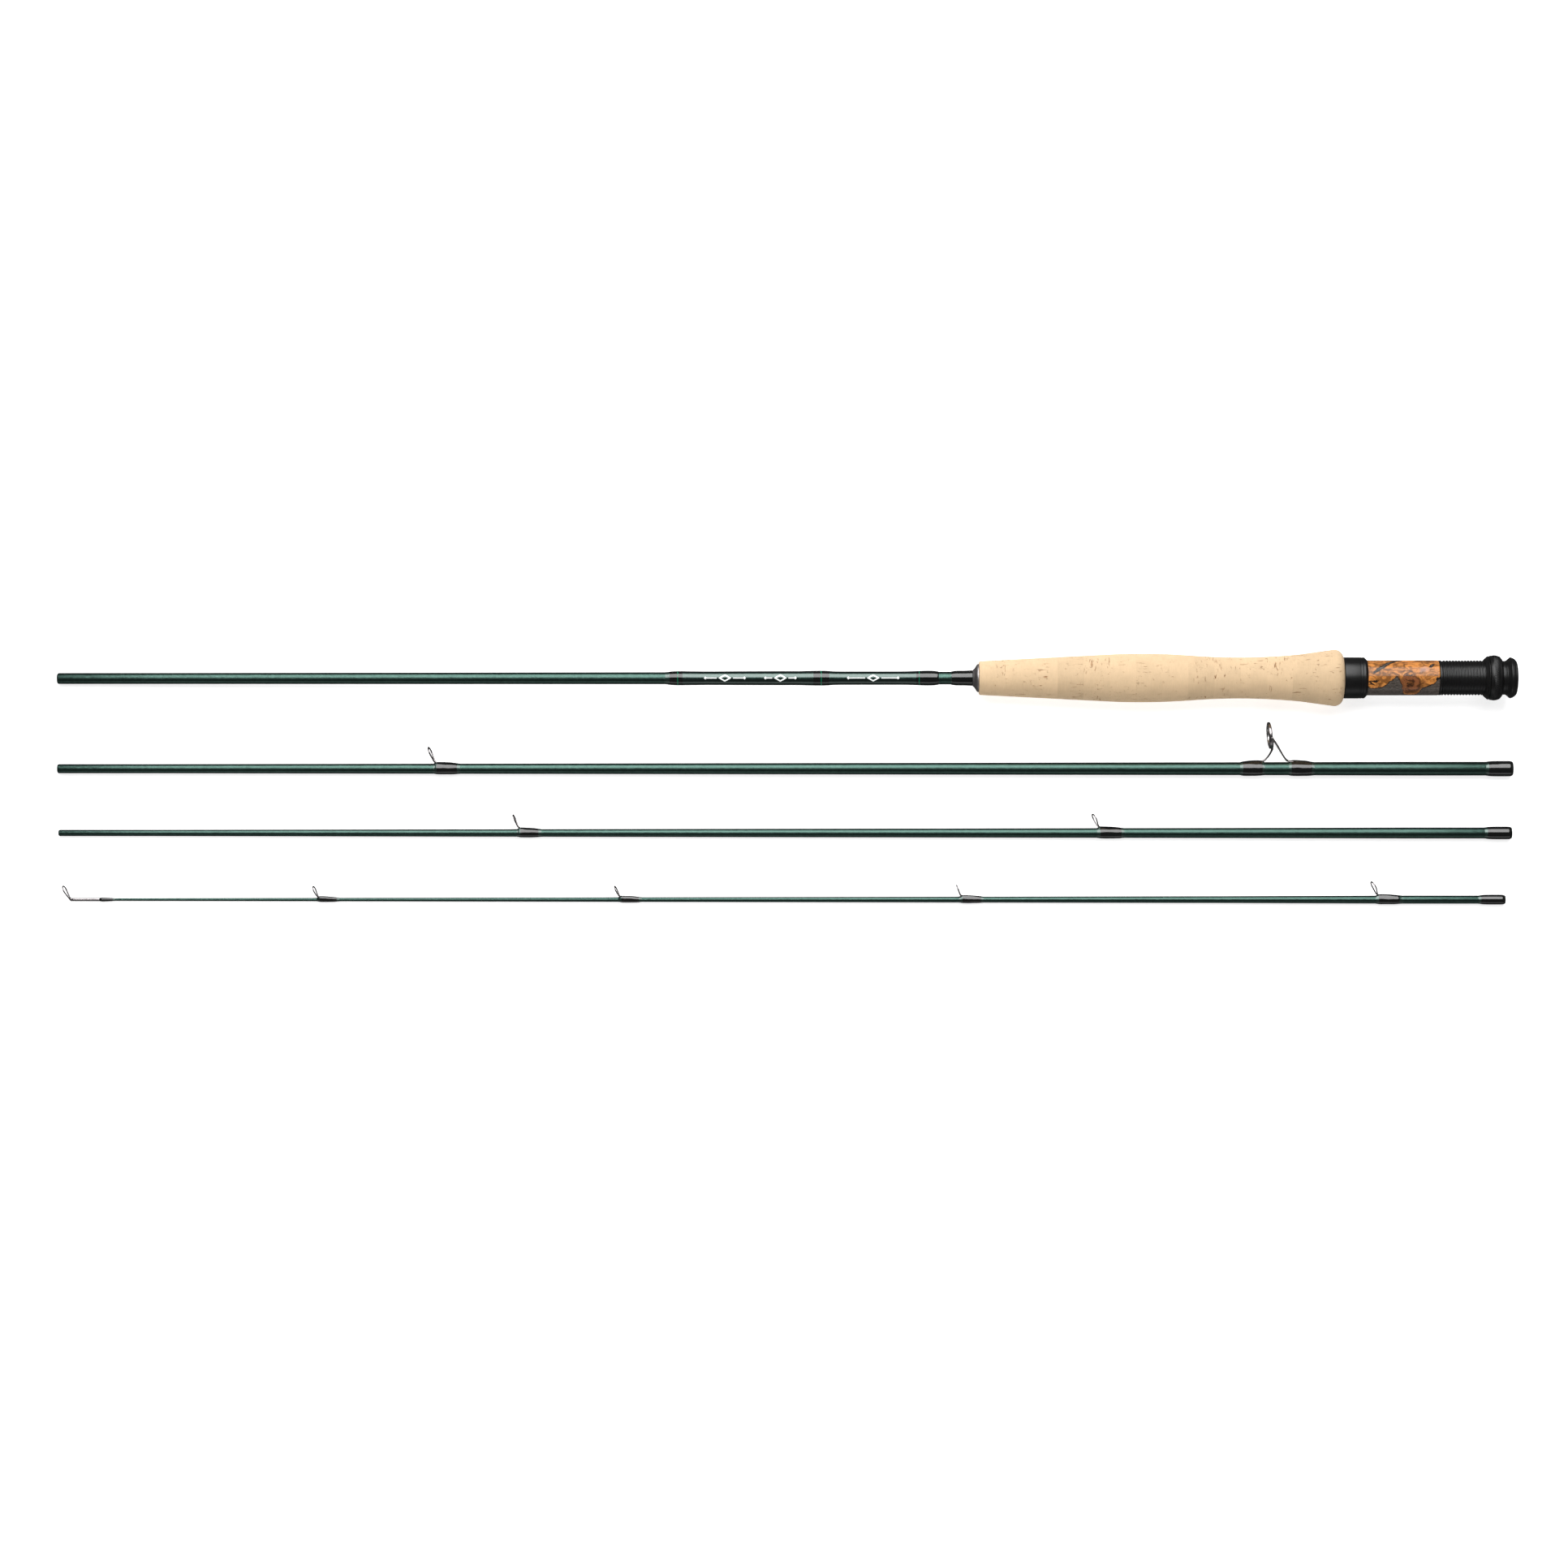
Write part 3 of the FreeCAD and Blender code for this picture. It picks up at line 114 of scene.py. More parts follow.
class RodColours(bpy.types.PropertyGroup):
    """Colours of the rod's finishes."""

    lacquer: colour("Lacquer", "Body of the green metal-flake lacquer", (0.023, 0.053, 0.044))
    flake: colour("Flake", "Flakes that catch the light", (0.056, 0.108, 0.090))
    thread: colour("Thread", "Wrap thread under epoxy", (0.0026, 0.0031, 0.0029))
    trim: colour("Trim", "Bright trim thread", paint(0, 150, 105))
    decal: colour("Decal", "Rules and diamonds under the clear coat", paint(238, 242, 240))
    cork: colour("Cork", "Face of the cork", (0.535, 0.387, 0.236))
    cork_dark: colour("Cork pits", "Pits and bark lines in the cork", (0.170, 0.078, 0.030))
    burl: colour("Burl", "Golden figure of the burl", (0.410, 0.155, 0.033))
    burl_red: colour("Burl eye", "Reddish eyes of the burl", (0.118, 0.040, 0.014))
    burl_grey: colour("Spalted wood", "Grey, decayed part of the burl", (0.058, 0.048, 0.041))
    anodised: colour("Anodised metal", "Hoods, barrel, nut and cap", (0.0048, 0.0047, 0.0047))
    nickel: colour("Nickel", "Winding check", (0.360, 0.340, 0.340))
    wire: colour("Guide wire", "Hard chrome of the guides", (0.300, 0.280, 0.285))
    ring: colour("Guide ring", "Polished ring of the first guide", (0.66, 0.65, 0.65))
    floor: colour("Floor", "Plain pale floor", (0.86, 0.86, 0.86))


class RodStage(bpy.types.PropertyGroup):
    """Camera and studio light."""

    height: length("Camera height", "Height of the camera above the rows", 2.0)
    field: length("Field", "Width that the camera sees at the rows", 0.7786)
    softbox: bpy.props.FloatProperty(
        name="Softbox", description="Power of the large softbox", default=46.0, min=0.0)
    room: bpy.props.FloatProperty(
        name="Room light", description="Strength of the even light around", default=0.085, min=0.0)


# ---------------------------------------------------------------- the sections


def centroid(node):
    """The middle of a node's skin."""
    faces = frame["nodes"][node].data.polygons
    skin = sum(face.area for face in faces)
    return sum((face.center * face.area for face in faces), Vector()) / skin


MOUNTS = {row["name"]: row for row in frame["record"]["mounts"]}


class Section:
    """A rod section's own frame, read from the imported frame."""

    def __init__(self, body, blank, mount, guides=()):
        self.body = body
        through = Vector(MOUNTS[mount]["pos_m"])
        along = Vector(MOUNTS[mount]["axis"])
        if along.x < 0:
            along.negate()
        up = sum((centroid(guide) - through for guide in guides), Vector())
        up = up if guides else Vector((0, 0, 1))
        up = (up - along * up.dot(along)).normalized()
        points = [point.co for point in frame["nodes"][blank].data.vertices]
        start = min(along.dot(point) for point in points)
        origin = through + along * (start - along.dot(through))
        turn = Matrix((along, up.cross(along), up)).transposed()
        self.place = Matrix.Translation(origin) @ turn.to_4x4() @ Matrix.Scale(MM, 4)
        self.back = self.place.inverted()

    def corners(self, node, outside=True):
        """The outline of a turned node, outside or bore: (x, radius) from its tip-side end."""
        mesh = frame["nodes"][node].data
        found = {}
        for face in mesh.polygons:
            middle = self.back @ face.center
            normal = self.back.to_3x3() @ face.normal
            facing = (middle.y * normal.y + middle.z * normal.z) * (1 if outside else -1)
            if facing <= 0.02 * normal.length * math.hypot(middle.y, middle.z):
                continue
            for index in face.vertices:
                point = self.back @ mesh.vertices[index].co
                x = round(point.x, 2)
                found[x] = max(found.get(x, 0), math.hypot(point.y, point.z))
        return sorted(found.items())

    def span(self, node):
        """Where a node starts and ends along the section."""
        places = [(self.back @ point.co).x for point in frame["nodes"][node].data.vertices]
        return min(places), max(places)


BUTT = Section("butt_section", "butt_blank", "butt_end_face")
LOWER_MID = Section("lower_mid_section", "lower_mid_blank", "lower_mid_ferrule_pin",
                    ["stripping_guide_ring"])
UPPER_MID = Section("upper_mid_section", "upper_mid_blank", "upper_mid_ferrule_pin",
                    ["upper_mid_guide_1", "upper_mid_guide_2"])
TIP = Section("tip_section", "tip_blank", "tip_socket",
              ["tip_guide_1", "tip_guide_2", "tip_guide_3", "tip_guide_4"])


# ---------------------------------------------------------------- outlines


def between(points, x):
    """The radius at x on an outline of straight runs."""
    for (x_a, r_a), (x_b, r_b) in zip(points, points[1:]):
        if x <= x_b:
            share = max(0.0, (x - x_a) / max(x_b - x_a, 1e-9))
            return r_a + (r_b - r_a) * share
    return points[-1][1]


def flowing(points, pace=0.6):
    """An outline through the points with no kinks, a point every pace millimetres."""
    out = []
    count = len(points)
    for i in range(count - 1):
        before = points[max(i - 1, 0)]
        start, end = points[i], points[i + 1]
        after = points[min(i + 2, count - 1)]
        run = end[0] - start[0]
        slope_in = (end[1] - before[1]) / max(end[0] - before[0], 1e-6) * run
        slope_out = (after[1] - start[1]) / max(after[0] - start[0], 1e-6) * run
        steps = max(1, math.ceil(abs(run) / pace))
        for k in range(steps):
            t = k / steps
            rise = ((2 * t ** 3 - 3 * t ** 2 + 1) * start[1] + (t ** 3 - 2 * t ** 2 + t) * slope_in
                    + (3 * t ** 2 - 2 * t ** 3) * end[1] + (t ** 3 - t ** 2) * slope_out)
            out.append((start[0] + run * t, rise))
    return out + [points[-1]]


def offsets(x, radius, *steps):
    """Corners given as (along, outwards) from one place."""
    return [(x + along, radius + out) for along, out in steps]


def stretch(outline, start, end):
    """The part of an outline from start to end, with a corner at each."""
    inner = [point for point in outline if start + 0.05 < point[0] < end - 0.05]
    return [(start, between(outline, start)), *inner, (end, between(outline, end))]


def eased(points, radius, steps=4):
    """An outline with its inner corners rounded off."""
    out = [points[0]]
    for before, corner, after in zip(points, points[1:], points[2:]):
        here = Vector(corner)
        a, b = Vector(before) - here, Vector(after) - here
        reach = min(radius, a.length * 0.45, b.length * 0.45)
        a, b = here + a.normalized() * reach, here + b.normalized() * reach
        for k in range(steps + 1):
            t = k / steps
            out.append(tuple(a * (1 - t) ** 2 + here * 2 * t * (1 - t) + b * t ** 2))
    return out + [points[-1]]


# ---------------------------------------------------------------- making a piece


def turned(outline, steps=ROUND, closed=True):
    """A solid of revolution about the section's axis."""
    bm = bmesh.new()
    ring = [bm.verts.new((x, 0, radius)) for x, radius in outline]
    pairs = list(zip(ring, ring[1:]))
    if closed:
        pairs.append((ring[-1], ring[0]))
    edges = [bm.edges.new(pair) for pair in pairs]
    bmesh.ops.spin(bm, geom=ring + edges, cent=(0, 0, 0), axis=(1, 0, 0), dvec=(0, 0, 0),
                   angle=math.tau, steps=steps, use_merge=True, use_duplicate=False)
    bmesh.ops.remove_doubles(bm, verts=bm.verts, dist=1e-4)
    bmesh.ops.recalc_face_normals(bm, faces=bm.faces)
    return bm


def tube(path, radius, sides=14):
    """A wire along a path of (x, y, z, share of the radius)."""
    curve = bpy.data.curves.new("wire_path", "CURVE")
    curve.dimensions = "3D"
    curve.bevel_depth = radius
    curve.bevel_resolution = max(1, sides // 2 - 1)
    curve.use_fill_caps = True
    line = curve.splines.new("POLY")
    line.points.add(len(path) - 1)
    for point, (x, y, z, share) in zip(line.points, path):
        point.co = (x, y, z, 1)
        point.radius = share
    carrier = bpy.data.objects.new("wire_path", curve)
    mesh = bpy.data.meshes.new_from_object(carrier)
    bm = bmesh.new()
    bm.from_mesh(mesh)
    bmesh.ops.remove_doubles(bm, verts=bm.verts, dist=1e-4)
    bmesh.ops.recalc_face_normals(bm, faces=bm.faces)
    bpy.data.objects.remove(carrier)
    bpy.data.curves.remove(curve)
    bpy.data.meshes.remove(mesh)
    return bm


def brick(x_range, y_range, z_range, bevel=0.0):
    """A box with rounded edges."""
    bm = bmesh.new()
    bmesh.ops.create_cube(bm, size=1.0)
    ranges = (x_range, y_range, z_range)
    bmesh.ops.scale(bm, vec=[high - low for low, high in ranges], verts=bm.verts)
    bmesh.ops.translate(bm, vec=[(low + high) / 2 for low, high in ranges], verts=bm.verts)
    if bevel:
        bmesh.ops.bevel(bm, geom=bm.edges[:], offset=bevel, segments=3, profile=0.5,
                        affect="EDGES", material=-1, clamp_overlap=True)
    return bm


def combined(base, tool, operation):
    """One closed shape joined with another, or cut by it."""
    carriers = []
    for bm in (base, tool):
        mesh = bpy.data.meshes.new("carving")
        bm.to_mesh(mesh)
        bm.free()
        carriers.append(bpy.data.objects.new("carving", mesh))
        bpy.context.scene.collection.objects.link(carriers[-1])
    cut = carriers[0].modifiers.new("carving", "BOOLEAN")
    cut.operation = operation
    cut.solver = "EXACT"
    cut.object = carriers[1]
    graph = bpy.context.evaluated_depsgraph_get()
    mesh = bpy.data.meshes.new_from_object(carriers[0].evaluated_get(graph))
    bm = bmesh.new()
    bm.from_mesh(mesh)
    bpy.data.meshes.remove(mesh)
    for carrier in carriers:
        used = carrier.data
        bpy.data.objects.remove(carrier)
        bpy.data.meshes.remove(used)
    return bm


def gather(*parts):
    """Several bmeshes as one."""
    whole = bmesh.new()
    for part in parts:
        mesh = bpy.data.meshes.new("part")
        part.to_mesh(mesh)
        part.free()
        whole.from_mesh(mesh)
        bpy.data.meshes.remove(mesh)
    return whole


def unroll(bm, girth):
    """A UV map of the surface unrolled: millimetres along the section and around it, with
    nought on the guide side."""
    layer = bm.loops.layers.uv.new("unrolled")
    for face in bm.faces:
        middle = face.calc_center_median()
        base = math.atan2(middle.y, middle.z)
        for loop in face.loops:
            point = loop.vert.co
            turn = math.atan2(point.y, point.z) - base
            turn = base + (turn + math.pi) % math.tau - math.pi
            loop[layer].uv = (point.x, turn * girth)


def cover(bm, layer_name, share):
    """A number at every point, share(x, y, z), for the material to read."""
    layer = bm.verts.layers.float.new(layer_name)
    for vert in bm.verts:
        vert[layer] = share(*vert.co)


def settle(bm, name, section, maker, node, girth=None, body=None, sharp=35.0):
    """Unrolls a modelled piece of the given girth, if it has one, lays it where its section
    lies, finishes it and gives it to the frame in place of a node."""
    if girth:
        unroll(bm, girth)
    bmesh.ops.transform(bm, matrix=section.place, verts=bm.verts)
    mesh = bpy.data.meshes.new(name)
    bm.to_mesh(mesh)
    bm.free()
    mesh.shade_smooth()
    mesh.set_sharp_from_angle(angle=math.radians(sharp))
    mesh.materials.append(finish(maker))
    piece = bpy.data.objects.new(name, mesh)
    bpy.context.scene.collection.objects.link(piece)
    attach(piece, body or section.body)
    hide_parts(node)


# ---------------------------------------------------------------- shader sheets


class Value:
    """A socket of a finish that can stand in a sum."""

    def __init__(self, finish, socket):
        self.finish = finish
        self.socket = socket

    def maths(self, operation, *terms):
        return self.finish.node("ShaderNodeMath", {"operation": operation},
                                dict(enumerate(terms)))

    def __add__(self, other):
        return self.maths("ADD", self, other)

    __radd__ = __add__

    def __sub__(self, other):
        return self.maths("SUBTRACT", self, other)

    def __rsub__(self, other):
        return self.maths("SUBTRACT", other, self)

    def __mul__(self, other):
        return self.maths("MULTIPLY", self, other)

    __rmul__ = __mul__

    def __truediv__(self, other):
        return self.maths("DIVIDE", self, other)

    def __pow__(self, other):
        return self.maths("POWER", self, other)

    def __abs__(self):
        return self.maths("ABSOLUTE", self)

    def most(self, other):
        return self.maths("MAXIMUM", self, other)

    def least(self, other):
        return self.maths("MINIMUM", self, other)

    def floor(self):
        return self.maths("FLOOR", self)

    def fraction(self):
        return self.maths("FRACT", self)

    def sine(self):
        return self.maths("SINE", self)

    def rise(self, low, high):
        """0 below low, 1 above high and a smooth step between them; it falls if high < low."""
        start, end = (low, high) if high > low else (high, low)
        levels = (0.0, 1.0) if high > low else (1.0, 0.0)
        return self.finish.node("ShaderNodeMapRange", {"interpolation_type": "SMOOTHSTEP"},
                                {"Value": self, "From Min": start, "From Max": end,
                                 "To Min": levels[0], "To Max": levels[1]})


class Finish:
    """A material in the making: a Principled shader and the nodes that feed it."""

    def __init__(self, name, **constants):
        self.material = bpy.data.materials.new(name)
        self.material.use_nodes = True
        self.nodes = self.material.node_tree.nodes
        self.links = self.material.node_tree.links
        self.shader = self.nodes["Principled BSDF"]
        for socket, value in constants.items():
            self.plug(self.shader.inputs[socket.replace("_", " ")], value)

    def plug(self, socket, value):
        if isinstance(value, Value):
            self.links.new(value.socket, socket)
        elif isinstance(value, (int, float)):
            socket.default_value = value
        else:
            value = tuple(value)
            wide = len(socket.default_value) == 4 and len(value) == 3
            socket.default_value = value + (1.0,) if wide else value

    def node(self, kind, settings, values, output=0):
        """Any node: its settings first, then the values or links of its sockets."""
        made = self.nodes.new(kind)
        for name, setting in settings.items():
            setattr(made, name, setting)
        for socket, value in values.items():
            self.plug(made.inputs[socket], value)
        return Value(self, made.outputs[output])

    def feed(self, socket, value):
        self.plug(self.shader.inputs[socket], value)

    def space(self, scale=(1.0, 1.0, 1.0)):
        """Object coordinates in millimetres, stretched by scale."""
        where = self.node("ShaderNodeTexCoord", {}, {}, "Object")
        return self.node("ShaderNodeVectorMath", {"operation": "MULTIPLY"},
                         {0: where, 1: [share / MM for share in scale]})

    def unrolled(self):
        """Millimetres along the piece and around it."""
        place = self.node("ShaderNodeUVMap", {"uv_map": "unrolled"}, {})
        return (self.node("ShaderNodeSeparateXYZ", {}, {0: place}, 0),
                self.node("ShaderNodeSeparateXYZ", {}, {0: place}, 1))

    def vector(self, x, y, z=0.0):
        return self.node("ShaderNodeCombineXYZ", {}, {0: x, 1: y, 2: z})

    def shifted(self, vector, by):
        return self.node("ShaderNodeVectorMath", {"operation": "ADD"}, {0: vector, 1: by})

    def attribute(self, name):
        return self.node("ShaderNodeAttribute", {"attribute_name": name}, {}, "Fac")

    def noise(self, vector, scale, detail=2.0, roughness=0.5, distortion=0.0, output=0):
        return self.node("ShaderNodeTexNoise", {"noise_dimensions": "3D"},
                         {"Vector": vector, "Scale": scale, "Detail": detail,
                          "Roughness": roughness, "Distortion": distortion}, output)

    def cells(self, vector, scale, feature="F1", output="Distance"):
        return self.node("ShaderNodeTexVoronoi", {"feature": feature},
                         {"Vector": vector, "Scale": scale}, output)

    def curve(self, value, points):
        """The height at value on a smooth line through (place, height) points."""
        first, last = points[0][0], points[-1][0]
        low, high = min(rise for _, rise in points), max(rise for _, rise in points)
        place = (value - first) / (last - first)
        read = self.node("ShaderNodeFloatCurve", {}, {"Value": place})
        mapping = read.socket.node.mapping
        line = mapping.curves[0].points
        spots = [((x - first) / (last - first), (rise - low) / (high - low))
                 for x, rise in points]
        for spot in spots[1:-1]:
            line.new(*spot)
        line[0].location = spots[0]
        line[len(line) - 1].location = spots[-1]
        mapping.update()
        return read * (high - low) + low

    def chance(self, value):
        """A number from 0 to 1 for each whole number."""
        return self.node("ShaderNodeTexWhiteNoise", {"noise_dimensions": "1D"}, {"W": value})

    def mix(self, share, low, high):
        """Colour low where share is 0, high where it is 1."""
        return self.node("ShaderNodeMix", {"data_type": "RGBA"}, {0: share, 6: low, 7: high}, 2)

    def tint(self, colour, share):
        """A colour made lighter or darker by a number."""
        return self.node("ShaderNodeVectorMath", {"operation": "SCALE"},
                         {0: colour, "Scale": share})

    def bump(self, height, depth, normal=None):
        values = {"Height": height, "Distance": depth, "Strength": 1.0}
        if normal:
            values["Normal"] = normal
        return self.node("ShaderNodeBump", {}, values)


finishes = {}


def finish(maker):
    """A finish is made once and shared by the pieces that have it."""
    if maker.__name__ not in finishes:
        finishes[maker.__name__] = maker(bpy.context.scene.rod_sizes,
                                         bpy.context.scene.rod_colours)
    return finishes[maker.__name__]


def flaked(sheet, sizes, colours):
    """Colour and normal of the metal-flake lacquer: small flakes, each tilted its own way."""
    where = sheet.space()
    scale = MM / sizes.flake
    tone = sheet.node("ShaderNodeSeparateColor", {},
                      {0: sheet.cells(where, scale, output="Color")}, 0)
    cloud = sheet.noise(where, 0.45, detail=3.0)
    level = tone ** 1.6 * 0.55 + cloud * 0.60
    hue = sheet.mix(level, colours.lacquer, colours.flake)
    flakes = sheet.cells(where, scale, output="Color")
    tilt = sheet.node("ShaderNodeVectorMath", {"operation": "MULTIPLY_ADD"},
                      {0: flakes, 1: (0.20, 0.20, 0.20), 2: (-0.10, -0.10, -0.10)})
    facing = sheet.node("ShaderNodeNewGeometry", {}, {}, "Normal")
    normal = sheet.node("ShaderNodeVectorMath", {"operation": "NORMALIZE"},
                        {0: sheet.shifted(facing, tilt)})
    return hue, normal


def lacquer(sizes, colours):
    """Satin metal-flake lacquer of the blanks."""
    sheet = Finish("metal_flake_lacquer", Metallic=1.0, Roughness=0.34, Coat_Weight=0.22,
                   Coat_Roughness=0.32)
    hue, normal = flaked(sheet, sizes, colours)
    sheet.feed("Base Color", hue)
    sheet.feed("Normal", normal)
    return sheet.material


def coated_lacquer(sizes, colours):
    """The same lacquer under clear gloss epoxy, with generic rules and diamonds beneath it."""
    sheet = Finish("coated_lacquer", Roughness=0.34, Coat_Weight=1.0, Coat_Roughness=0.03,
                   Coat_IOR=1.6)
    hue, normal = flaked(sheet, sizes, colours)
    along, around = sheet.unrolled()
    start = BUTT.span("label_coat")[0]
    marks = None
    for middle, half in ((21.0, 9.9), (48.5, 7.6), (94.5, 12.5)):
        offset = abs(along - (start + middle))
        rule = abs(around).rise(0.30, 0.18) * offset.rise(half + 0.05, half - 0.05)
        rule = rule * offset.rise(3.9, 4.1)
        diamond = (offset / 3.2 + abs(around) / 1.9).rise(1.04, 0.96)
        eye = (offset / 3.2 + abs(around) / 1.9).rise(0.54, 0.61)
        bead = (abs(offset - half + 0.2) / 0.75 + abs(around) / 0.75).rise(1.08, 0.92)
        shape = rule.most(diamond * eye).most(bead)
        marks = shape if marks is None else marks.most(shape)
    sheet.feed("Base Color", sheet.mix(marks, sheet.tint(hue, 0.62), colours.decal))
    sheet.feed("Metallic", 1.0 - marks)
    sheet.feed("Normal", normal)
    return sheet.material


def thread_wrap(sizes, colours):
    """Thread wound side by side under gloss epoxy, with painted shade in the grooves between its
    turns; past the thread the lacquer shows.
    """
    sheet = Finish("epoxied_thread", Coat_Weight=1.0, Coat_Roughness=0.07, Coat_IOR=1.62,
                   Roughness=0.42, Specular_IOR_Level=0.08)
    hue, normal = flaked(sheet, sizes, colours)
    along, around = sheet.unrolled()
    wound = (along * (math.tau * MM / sizes.thread) + around * 0.08).sine()
    drift = sheet.noise(sheet.space((1.0, 0.4, 0.4)), 1.3, detail=3.0)
    covered = sheet.attribute("thread").rise(0.42, 0.58)
    # The thread's colour drifts at random like its dye. It is also painted lighter on each turn's
    # crest and darker in the grooves between turns: painted shade.
    dyed_and_groove_shaded = sheet.tint(colours.thread, wound * 0.22 + drift * 0.9 + 0.55)
    sheet.feed("Base Color", sheet.mix(covered, sheet.tint(hue, 0.8), dyed_and_groove_shaded))
    sheet.feed("Metallic", 1.0 - covered)
    sheet.feed("Normal", sheet.bump(wound * covered, sizes.thread * 0.22, normal))
    return sheet.material


def trim_thread(sizes, colours):
    """Bright metallic trim thread under epoxy, with painted glints and painted shade between its
    turns.
    """
    sheet = Finish("trim_thread", Metallic=0.55, Roughness=0.30, Coat_Weight=1.0,
                   Coat_Roughness=0.03, Coat_IOR=1.6)
    along, around = sheet.unrolled()
    wound = (along * (math.tau * MM / sizes.thread) + around * 0.08).sine()
    glint = sheet.noise(sheet.space(), 4.5, detail=2.0)
    # The colour carries painted glints from the glint noise and painted shade, darker in the grooves
    # between the thread's turns.
    sheet.feed("Base Color", sheet.tint(colours.trim, glint * 1.3 + wound * 0.15 + 0.35))
    sheet.feed("Normal", sheet.bump(wound, sizes.thread * 0.4))
    return sheet.material


def cork(sizes, colours):
    """Ring cork: warm tan, each ring with its own tone, bark lines and pits, faint seams."""
    sheet = Finish("ring_cork", Specular_IOR_Level=0.32)
    along, around = sheet.unrolled()
    start = BUTT.span("cork_ring_01")[0]
    pitch = BUTT.span("cork_ring_01")[1] - start
    place = (along - start) / pitch
    ring = place.floor()
    tone = sheet.chance(ring + 0.5)
    seam = abs(place.fraction() - 0.5).rise(0.494, 0.5)
    where = sheet.space()
    shift = sheet.vector(tone * 60.0, tone * 37.0, tone * 83.0)
    wood = sheet.shifted(where, shift)
    cloud = sheet.noise(wood, 0.13, detail=4.0, roughness=0.6)
    grain = sheet.noise(wood, 2.6, detail=3.0, roughness=0.65)
    lines = sheet.noise(sheet.shifted(sheet.space((2.6, 0.35, 0.35)), shift), 0.9, detail=4.0)
    lengthways = sheet.shifted(sheet.space((0.40, 1.9, 1.9)), shift)
    crossways = sheet.vector(along * 1.9 + tone * 40.0, around * 0.42 + tone * 75.0, tone * 9.0)
    dashes = sheet.noise(lengthways, 0.46, detail=4.0, roughness=0.66, distortion=0.7)
    slits = sheet.noise(crossways, 0.46, detail=4.0, roughness=0.66, distortion=0.7)
    across = sheet.chance(ring + 7.5).rise(0.76, 0.78)
    bark = dashes * (1.0 - across) + slits * across
    crowd = sheet.noise(wood, 0.10, detail=2.0).rise(0.42, 0.60)
    level = bark + (crowd - 1.0) * 0.10
    pits = level.rise(0.592, 0.655)
    cores = level.rise(0.655, 0.71)
    knots = sheet.noise(wood, 0.75, detail=4.0, roughness=0.7, distortion=1.0)
    specks = (knots + (crowd - 1.0) * 0.10).rise(0.625, 0.68)
    worn = pits.most(specks * 0.85)
    shade = cloud * 0.30 + grain * 0.10 + lines * 0.16 + tone * 0.10 + 0.68
    face = sheet.tint(colours.cork, shade)
    rust = sheet.tint(colours.cork_dark, 1.9)
    stained = sheet.mix(worn * 0.62, face, rust)
    cored = sheet.mix((cores * 0.75).most(specks * 0.4), stained, colours.cork_dark)
    sheet.feed("Base Color", sheet.mix(seam * 0.10, cored, rust))
    sheet.feed("Roughness", 0.62 + grain * 0.25)
    height = grain * 0.08 + lines * 0.10 - worn * 0.6 - cores * 0.5 - seam * 0.05
    sheet.feed("Normal", sheet.bump(height, sizes.pit))
    return sheet.material


def blob(sheet, along, around, x, y, half_x, half_y, turn=0.0):
    """1 in the middle of a tilted oval patch of the unrolled surface, 0 on its rim."""
    cos, sin = math.cos(math.radians(turn)), math.sin(math.radians(turn))
    dx, dy = along - x, around - y
    u = (dx * cos + dy * sin) / half_x
    v = (dy * cos - dx * sin) / half_y
    return 1.0 - (u * u + v * v) ** 0.5


# The upper edge of the grey, spalted wood on the insert's upper half: millimetres from the
# front hood, and around from the guide side.
SHORE = [(0.0, -4.6), (2.2, -5.7), (5.0, -5.5), (8.1, -4.5), (9.8, -2.9), (11.9, -0.9),
         (13.4, 0.2), (14.6, -0.5), (16.0, -2.8), (16.9, -6.0), (17.8, -9.5), (20.0, -11.4),
         (23.5, -11.2), (25.2, -8.6), (26.7, -6.0), (29.0, -4.9), (31.9, -3.4), (33.6, -1.5),
         (36.0, 0.2)]


